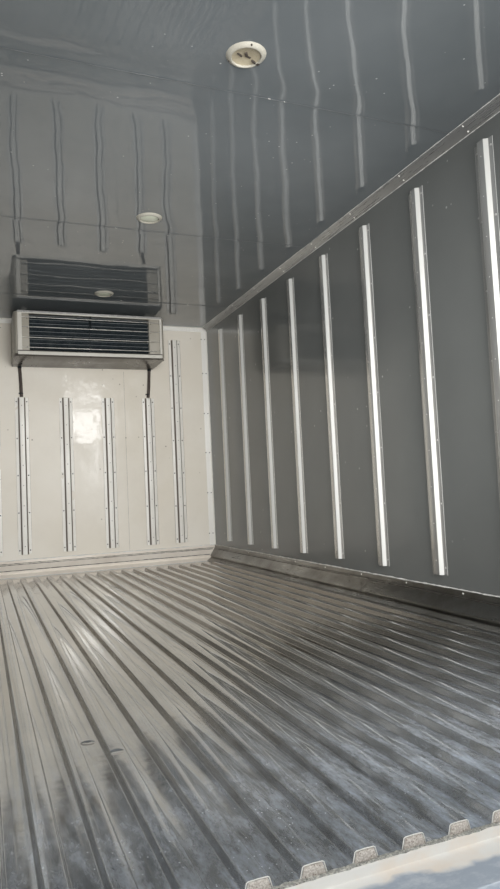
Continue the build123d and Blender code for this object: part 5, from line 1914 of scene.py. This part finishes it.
@dataclass
class CondensingUnit(SubAssembly):
    """Fine parts of the unit on the outer front wall: wire guards, fan mouths and screws.

    Attributes:
        disc: radius of the disc in the middle of each guard.
    """

    places: tuple[float, ...] = (-0.33, 0.33)
    mouth: float = 0.192
    disc: float = 34 * MM
    wire: float = 2.2 * MM
    ring_count: int = 8
    spoke_count: int = 6
    screw_count: int = 7

    def guard(self, guards: Piece, screws: Piece, head: bpy.types.Mesh,
              centre: Vector) -> None:
        """Add one wire guard.

        Args:
            guards: piece that takes it.
            screws: piece that takes its screws.
            head: a screw's head.
            centre: middle of the mouth.
        """
        for radius in steps(self.disc + 16 * MM, self.mouth - 4 * MM, self.ring_count):
            guards.ring(centre + FORWARD * 3.4 * MM, FORWARD, radius, self.wire)
        for index in range(self.spoke_count):
            turn = math.tau * index / self.spoke_count
            out = Vector((math.cos(turn), 0, math.sin(turn)))
            guards.rod(centre + out * self.disc * 0.6 + FORWARD * 1.4 * MM,
                       centre + out * (self.mouth + 8 * MM) + FORWARD * 1.4 * MM, self.wire, 8)
            screws.heads(head, FORWARD, [centre + out * (self.mouth + 9 * MM)])
        guards.lathe([(0, 0), (self.disc, 0), (self.disc, 4 * MM), (self.disc - 3 * MM, 7 * MM),
                      (0, 8 * MM)], centre, FORWARD, 36)

    def mouth_rim(self, rims: Piece, centre: Vector) -> None:
        """Add one rolled rim of a fan's mouth.

        Args:
            rims: piece that takes it.
            centre: middle of the mouth.
        """
        inner = self.mouth - 1 * MM
        neck, brim = self.mouth + 5 * MM, self.mouth + 9 * MM
        rims.lathe([(inner, -26 * MM), (neck, -26 * MM), (neck, -4 * MM), (brim, -0.5 * MM),
                    (brim, 1.2 * MM), (self.mouth + 1 * MM, 1.2 * MM), (inner, -2 * MM)],
                   centre, FORWARD, 48)

    def build(self) -> None:
        """Make guards, mouth rims and screws."""
        low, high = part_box("condenser_guards")
        guards, rims = Piece("condenser_wire_guards"), Piece("condenser_mouth_rims")
        screws = Piece("condenser_screws")
        head = dome_mesh(5.0 * MM, 2.2 * MM)
        for x in self.places:
            centre = Vector((x, low.y, (low.z + high.z) / 2))
            self.guard(guards, screws, head, centre)
            self.mouth_rim(rims, centre)
        cover_low, cover_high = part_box("condenser_cover")
        screws.heads(head, FORWARD, [
            Vector((x, low.y, cover_low.z + 0.022))
            for x in steps(cover_low.x + 0.07, cover_high.x - 0.07, self.screw_count)])
        guards.done(self.paint, "dark_plastic", stands_for=("condenser_guards",))
        rims.done(self.paint, "cover_plastic")
        screws.done(self.paint, "bright_steel", smooth=50.0)


# Heights of the doors' hinges over the floor
HINGE_LEVELS = (0.190, 0.985, 1.780)


@dataclass
class DoorDress(SubAssembly):
    """Edge strips, rivets and bolts of one door, laid out closed and swung open.

    Attributes:
        strap_off: from the pin to the strap's face.
        guide_bolt: from the rod to a guide's bolts.
    """

    side: Side
    pin: tuple[float, float] = (1.125, -0.145)
    swing: float = 267.0
    face: float = -0.115
    edge_in: float = 5 * MM
    edge_out: float = 1.018
    gap_low: float = -8 * MM
    gap_high: float = 28 * MM
    strip: float = 34 * MM
    strip_sheet: float = 1.5 * MM
    strip_gap: float = 0.3 * MM
    strap_bolts: tuple[float, ...] = (0.845, 0.905, 0.970)
    strap_off: float = 24 * MM
    guide_levels: tuple[float, ...] = (0.108, 0.658, 1.308, 1.858)
    guide_bolt: float = 28 * MM
    guide_off: float = 5 * MM
    rod_x: float = 0.120
    rod_off: float = 31 * MM
    handle_level: float = 0.858
    grip_span: tuple[float, float] = (0.20, 0.325)

    def place(self) -> Matrix:
        """Place of this door.

        Returns:
            From the closed right-hand door to this one, stored open.
        """
        pin = self.room.at(self.pin[0], self.pin[1], 0.0)
        turn = Matrix.Rotation(math.radians(self.swing), 4, "Z")
        opened = Matrix.Translation(pin) @ turn @ Matrix.Translation(-pin)
        return Matrix.Diagonal((self.side.value, 1.0, 1.0, 1.0)) @ opened

    def finish_piece(self, piece: Piece, finish: str, smooth: float = 35.0) -> None:
        """Swing a piece to its place and close it."""
        piece.move(self.place())
        piece.done(self.paint, finish, f"door_{self.side.word}", smooth)

    def edging(self) -> None:
        """Aluminium strips round the outer face, with rivets."""
        room, wide = self.room, self.strip
        low, high = self.gap_low, room.height - self.gap_high
        near, far = self.face - self.strip_sheet, self.face + 0.2 * MM
        strips = Piece(f"door_edging_{self.side.word}")
        for x in (self.edge_in, self.edge_out - wide):
            strips.block(room.at(x, near, low), room.at(x + wide, far, high), 0.6 * MM)
        for z in (low, high - wide):
            strips.block(room.at(self.edge_in + wide + self.strip_gap, near, z),
                         room.at(self.edge_out - wide - self.strip_gap, far, z + wide),
                         0.6 * MM)
        rivets = Piece(f"door_edging_rivets_{self.side.word}")
        head = dome_mesh(4.5 * MM, 1.8 * MM)
        middle = wide / 2
        rivets.heads(head, REARWARD, [
            room.at(x, near, z) for x in (self.edge_in + middle, self.edge_out - middle)
            for z in steps(low + middle, high - middle, 14)])
        rivets.heads(head, REARWARD, [
            room.at(x, near, z) for z in (low + middle, high - middle)
            for x in steps(self.edge_in + 0.1, self.edge_out - 0.1, 7)])
        self.finish_piece(strips, "aluminium_rail")
        self.finish_piece(rivets, "bright_steel", 50.0)

    def bolts(self) -> None:
        """Hexagon bolts of straps and rod guides."""
        room = self.room
        piece = Piece(f"door_bolts_{self.side.word}")
        bolt = bolt_mesh(7 * MM)
        piece.heads(bolt, REARWARD, [
            room.at(x, self.pin[1] + self.strap_off, level) for level in HINGE_LEVELS
            for x in self.strap_bolts])
        piece.heads(bolt, REARWARD, [
            room.at(x, self.face - self.guide_off, level) for level in self.guide_levels
            for x in (self.rod_x - self.guide_bolt, self.rod_x + self.guide_bolt)])
        self.finish_piece(piece, "bright_steel")

    def grip(self) -> None:
        """Rubber grip of the handle."""
        y, (near, far) = self.face - self.rod_off, self.grip_span
        grip = Piece(f"handle_grip_{self.side.word}")
        grip.block(self.room.at(self.rod_x + near, y - 8 * MM, self.handle_level - 14 * MM),
                   self.room.at(self.rod_x + far, y + 8 * MM, self.handle_level + 14 * MM),
                   5 * MM, 3)
        self.finish_piece(grip, "black_rubber")

    def build(self) -> None:
        """Make everything on this door."""
        self.edging()
        self.bolts()
        self.grip()


@dataclass
class OuterFixings(SubAssembly):
    """Rivets of the outer mouldings and bolts of the hinge brackets."""

    pitch: float = 0.12
    bracket_bolts: tuple[float, ...] = (-0.040, -0.080)

    def row(self, piece: Piece, head: bpy.types.Mesh, start: Point, end: Point,
            normal: Point) -> None:
        """Add a row of heads.

        Args:
            piece: piece that takes them.
            head: a head.
            start: the first one's point.
            end: the last one's.
            normal: the surface's normal.
        """
        start, end = Vector(start), Vector(end)
        count = max(2, round((end - start).length / self.pitch) + 1)
        piece.heads(head, normal, [start.lerp(end, share) for share in steps(0.0, 1.0, count)])

    def rivets(self) -> None:
        """Rivets of roof rails, bottom rails and front corner posts."""
        rails_low, rails_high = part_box("roof_rails")
        skirt_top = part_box("bottom_rails")[1].z
        out, front, rear = rails_high.x, rails_high.y, self.room.rear + 0.06
        level = rails_low.z + 0.02
        foot, top, skirt = skirt_top + 0.06, level - 0.10, skirt_top - 0.018
        head = dome_mesh(5.0 * MM, 2.0 * MM)
        piece = Piece("moulding_rivets")
        ahead = (0, 1, 0)
        for side in Side:
            normal = (side.value, 0, 0)
            x = side.value * out
            wall = side.value * (self.room.outer + 4 * MM)
            post = side.value * (out - 0.045)
            for start, end, way in (
                ((x, rear, level), (x, front - 0.06, level), normal),
                ((wall, rear, skirt), (wall, front - 0.08, skirt), normal),
                ((x, front - 0.045, foot), (x, front - 0.045, top), normal),
                ((post, front, foot), (post, front, top), ahead),
            ):
                self.row(piece, head, start, end, way)
        self.row(piece, head, (-out + 0.12, front, level), (out - 0.12, front, level), ahead)
        piece.done(self.paint, "aluminium_rail", smooth=50.0)

    def bolts(self) -> None:
        """Bolts of the hinge brackets."""
        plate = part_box("rear_post_right")[1].x + 8 * MM
        piece = Piece("bracket_bolts")
        bolt = bolt_mesh(6 * MM)
        for side in Side:
            piece.heads(bolt, (side.value, 0, 0), [
                self.room.at(side.value * plate, y, level) for level in HINGE_LEVELS
                for y in self.bracket_bolts])
        piece.done(self.paint, "bright_steel")

    def build(self) -> None:
        """Make rivets and bolts."""
        self.rivets()
        self.bolts()


@dataclass
class Studio:
    """Camera, floor, world and lamps.

    Attributes:
        front_middle: middle of the front wall, which the patches light.
    """

    room: Room
    focal_px: float = 668.0
    image_height_px: float = 889.0
    sensor: float = 36.0
    yaw: float = 22.1098
    pitch: float = 3.7653
    roll: float = -2.7145
    place: Point = (-0.8316, -0.9444, 0.5848)
    front_middle: tuple[float, float] = (-0.04, 4.525)
    doorway_watts: float = 49.0
    patch_watts: float = 7.5
    sky_watts: float = 2.5
    key_watts: float = 75.0
    fill_watts: float = 30.0
    world_level: float = 0.84

    def camera(self) -> None:
        """Stand the camera where the photograph was taken."""
        yaw, pitch, roll = (math.radians(a) for a in (self.yaw, self.pitch, self.roll))
        ahead = Vector((math.sin(yaw) * math.cos(pitch), math.cos(yaw) * math.cos(pitch),
                        math.sin(pitch)))
        level = Vector((math.cos(yaw), -math.sin(yaw), 0.0))
        upright = level.cross(ahead)
        right = level * math.cos(roll) + upright * math.sin(roll)
        up = upright * math.cos(roll) - level * math.sin(roll)
        data = bpy.data.cameras.new("camera")
        data.sensor_width = self.sensor
        data.lens = self.focal_px * self.sensor / self.image_height_px
        data.clip_start = 0.01
        data.clip_end = 200.0
        camera = bpy.data.objects.new("camera", data)
        basis = Matrix((right, up, -ahead)).transposed().to_4x4()
        camera.matrix_world = Matrix.Translation(self.room.at(*self.place)) @ basis
        bpy.context.scene.collection.objects.link(camera)
        bpy.context.scene.camera = camera

    def floor(self) -> None:
        """Plain pale studio floor."""
        bm = bmesh.new()
        bmesh.ops.create_grid(bm, x_segments=1, y_segments=1, size=40.0)
        mesh = closed_mesh("studio_floor", bm)
        tree = Tree("studio_floor")
        mesh.materials.append(tree.surface(Base_Color=(0.78, 0.78, 0.77), Roughness=0.8))
        floor = bpy.data.objects.new("studio_floor", mesh)
        bpy.context.scene.collection.objects.link(floor)
        floor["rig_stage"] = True

    def world(self) -> None:
        """Pale world: even light, and white where it is seen or mirrored."""
        world = bpy.data.worlds.new("studio")
        world.use_nodes = True
        nodes, links = world.node_tree.nodes, world.node_tree.links
        nodes.clear()
        path = nodes.new("ShaderNodeLightPath")
        seen = nodes.new("ShaderNodeMath")
        seen.operation = "MAXIMUM"
        links.new(path.outputs["Is Camera Ray"], seen.inputs[0])
        links.new(path.outputs["Is Glossy Ray"], seen.inputs[1])
        strength = nodes.new("ShaderNodeMapRange")
        strength.inputs["To Min"].default_value = self.world_level
        strength.inputs["To Max"].default_value = 1.0
        links.new(seen.outputs[0], strength.inputs["Value"])
        back = nodes.new("ShaderNodeBackground")
        back.inputs["Color"].default_value = (0.93, 0.95, 0.97, 1.0)
        links.new(strength.outputs["Result"], back.inputs["Strength"])
        out = nodes.new("ShaderNodeOutputWorld")
        links.new(back.outputs[0], out.inputs["Surface"])
        bpy.context.scene.world = world

    def lamp(self, name: str, at: Vector, aim: Vector, size: tuple[float, float],
             watts: float, spread: float = 180.0, mirrored: bool = True,
             diffuse: bool = True) -> None:
        """Add a soft rectangular lamp that the camera doesn't see.

        Args:
            name: the lamp's name.
            at: its place.
            aim: the point it faces.
            size: its width and height.
            watts: its power.
            spread: angle of its beam, in degrees.
            mirrored: glossy surfaces mirror it.
            diffuse: it lights surfaces evenly too.
        """
        data = bpy.data.lights.new(name, "AREA")
        data.shape = "RECTANGLE"
        data.size, data.size_y = size
        data.energy = watts
        data.spread = math.radians(spread)
        lamp = bpy.data.objects.new(name, data)
        turn = (aim - at).to_track_quat("-Z", "Y").to_matrix().to_4x4()
        lamp.matrix_world = Matrix.Translation(at) @ turn
        lamp.visible_camera = False
        lamp.visible_glossy = mirrored
        lamp.visible_diffuse = diffuse
        bpy.context.scene.collection.objects.link(lamp)

    def lamps(self) -> None:
        """Light from the doorway on the front wall, and soft light round the outside."""
        at = self.room.at
        doorway = at(0.0, 0.03, 1.0)
        self.lamp("doorway_light", doorway, doorway + FORWARD, (1.9, 1.8), self.doorway_watts,
                  spread=110.0, mirrored=False)
        self.lamp("sky_patch", at(0.86, -1.5, 1.80), at(*self.front_middle, 1.16), (0.46, 0.60),
                  self.patch_watts, diffuse=False)
        self.lamp("low_patch", at(1.02, -1.5, 1.05), at(*self.front_middle, 0.80), (0.11, 0.60),
                  self.patch_watts * 0.2, diffuse=False)
        self.lamp("sky_light", at(0.0, -0.42, 2.8), at(0.0, -0.42, 0.0), (2.6, 0.3),
                  self.sky_watts, spread=50.0, mirrored=False)
        centre = Vector((0, 0, 1.2))
        self.lamp("key_light", Vector((-5, -6, 6)), centre, (4, 4), self.key_watts)
        self.lamp("fill_light", Vector((6, 5, 5)), centre, (4, 4), self.fill_watts)

    def build(self) -> None:
        """Set up the whole studio."""
        self.camera()
        self.floor()
        self.world()
        self.lamps()
        bpy.context.scene.view_settings.view_transform = "Standard"


def corners() -> list[list[float]]:
    """The shown object's box as plain lists."""
    return [list(corner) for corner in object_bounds()]


def main() -> None:
    """Load the model, dress it, add the fine pieces and set up the studio."""
    logging.basicConfig(level=logging.INFO, format="%(name)s: %(message)s")
    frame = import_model()
    room = Room.from_frame()
    paint = finishes(room)
    for node, finish in NODE_FINISH.items():
        materials = frame["nodes"][node].data.materials
        materials.clear()
        materials.append(paint[finish])
        LOG.info("%s dressed in %s", node, finish)
    EasedCopies(frame["nodes"], paint).build()
    for part in (Linings, RibbedFloor, HatStrips, EdgeTrims, CeilingLamps, Evaporator,
                 CondensingUnit, OuterFixings):
        part(room, paint).build()
    for side in Side:
        DoorDress(room, paint, side).build()
    Studio(room).build()


if __name__ == "__main__":
    main()
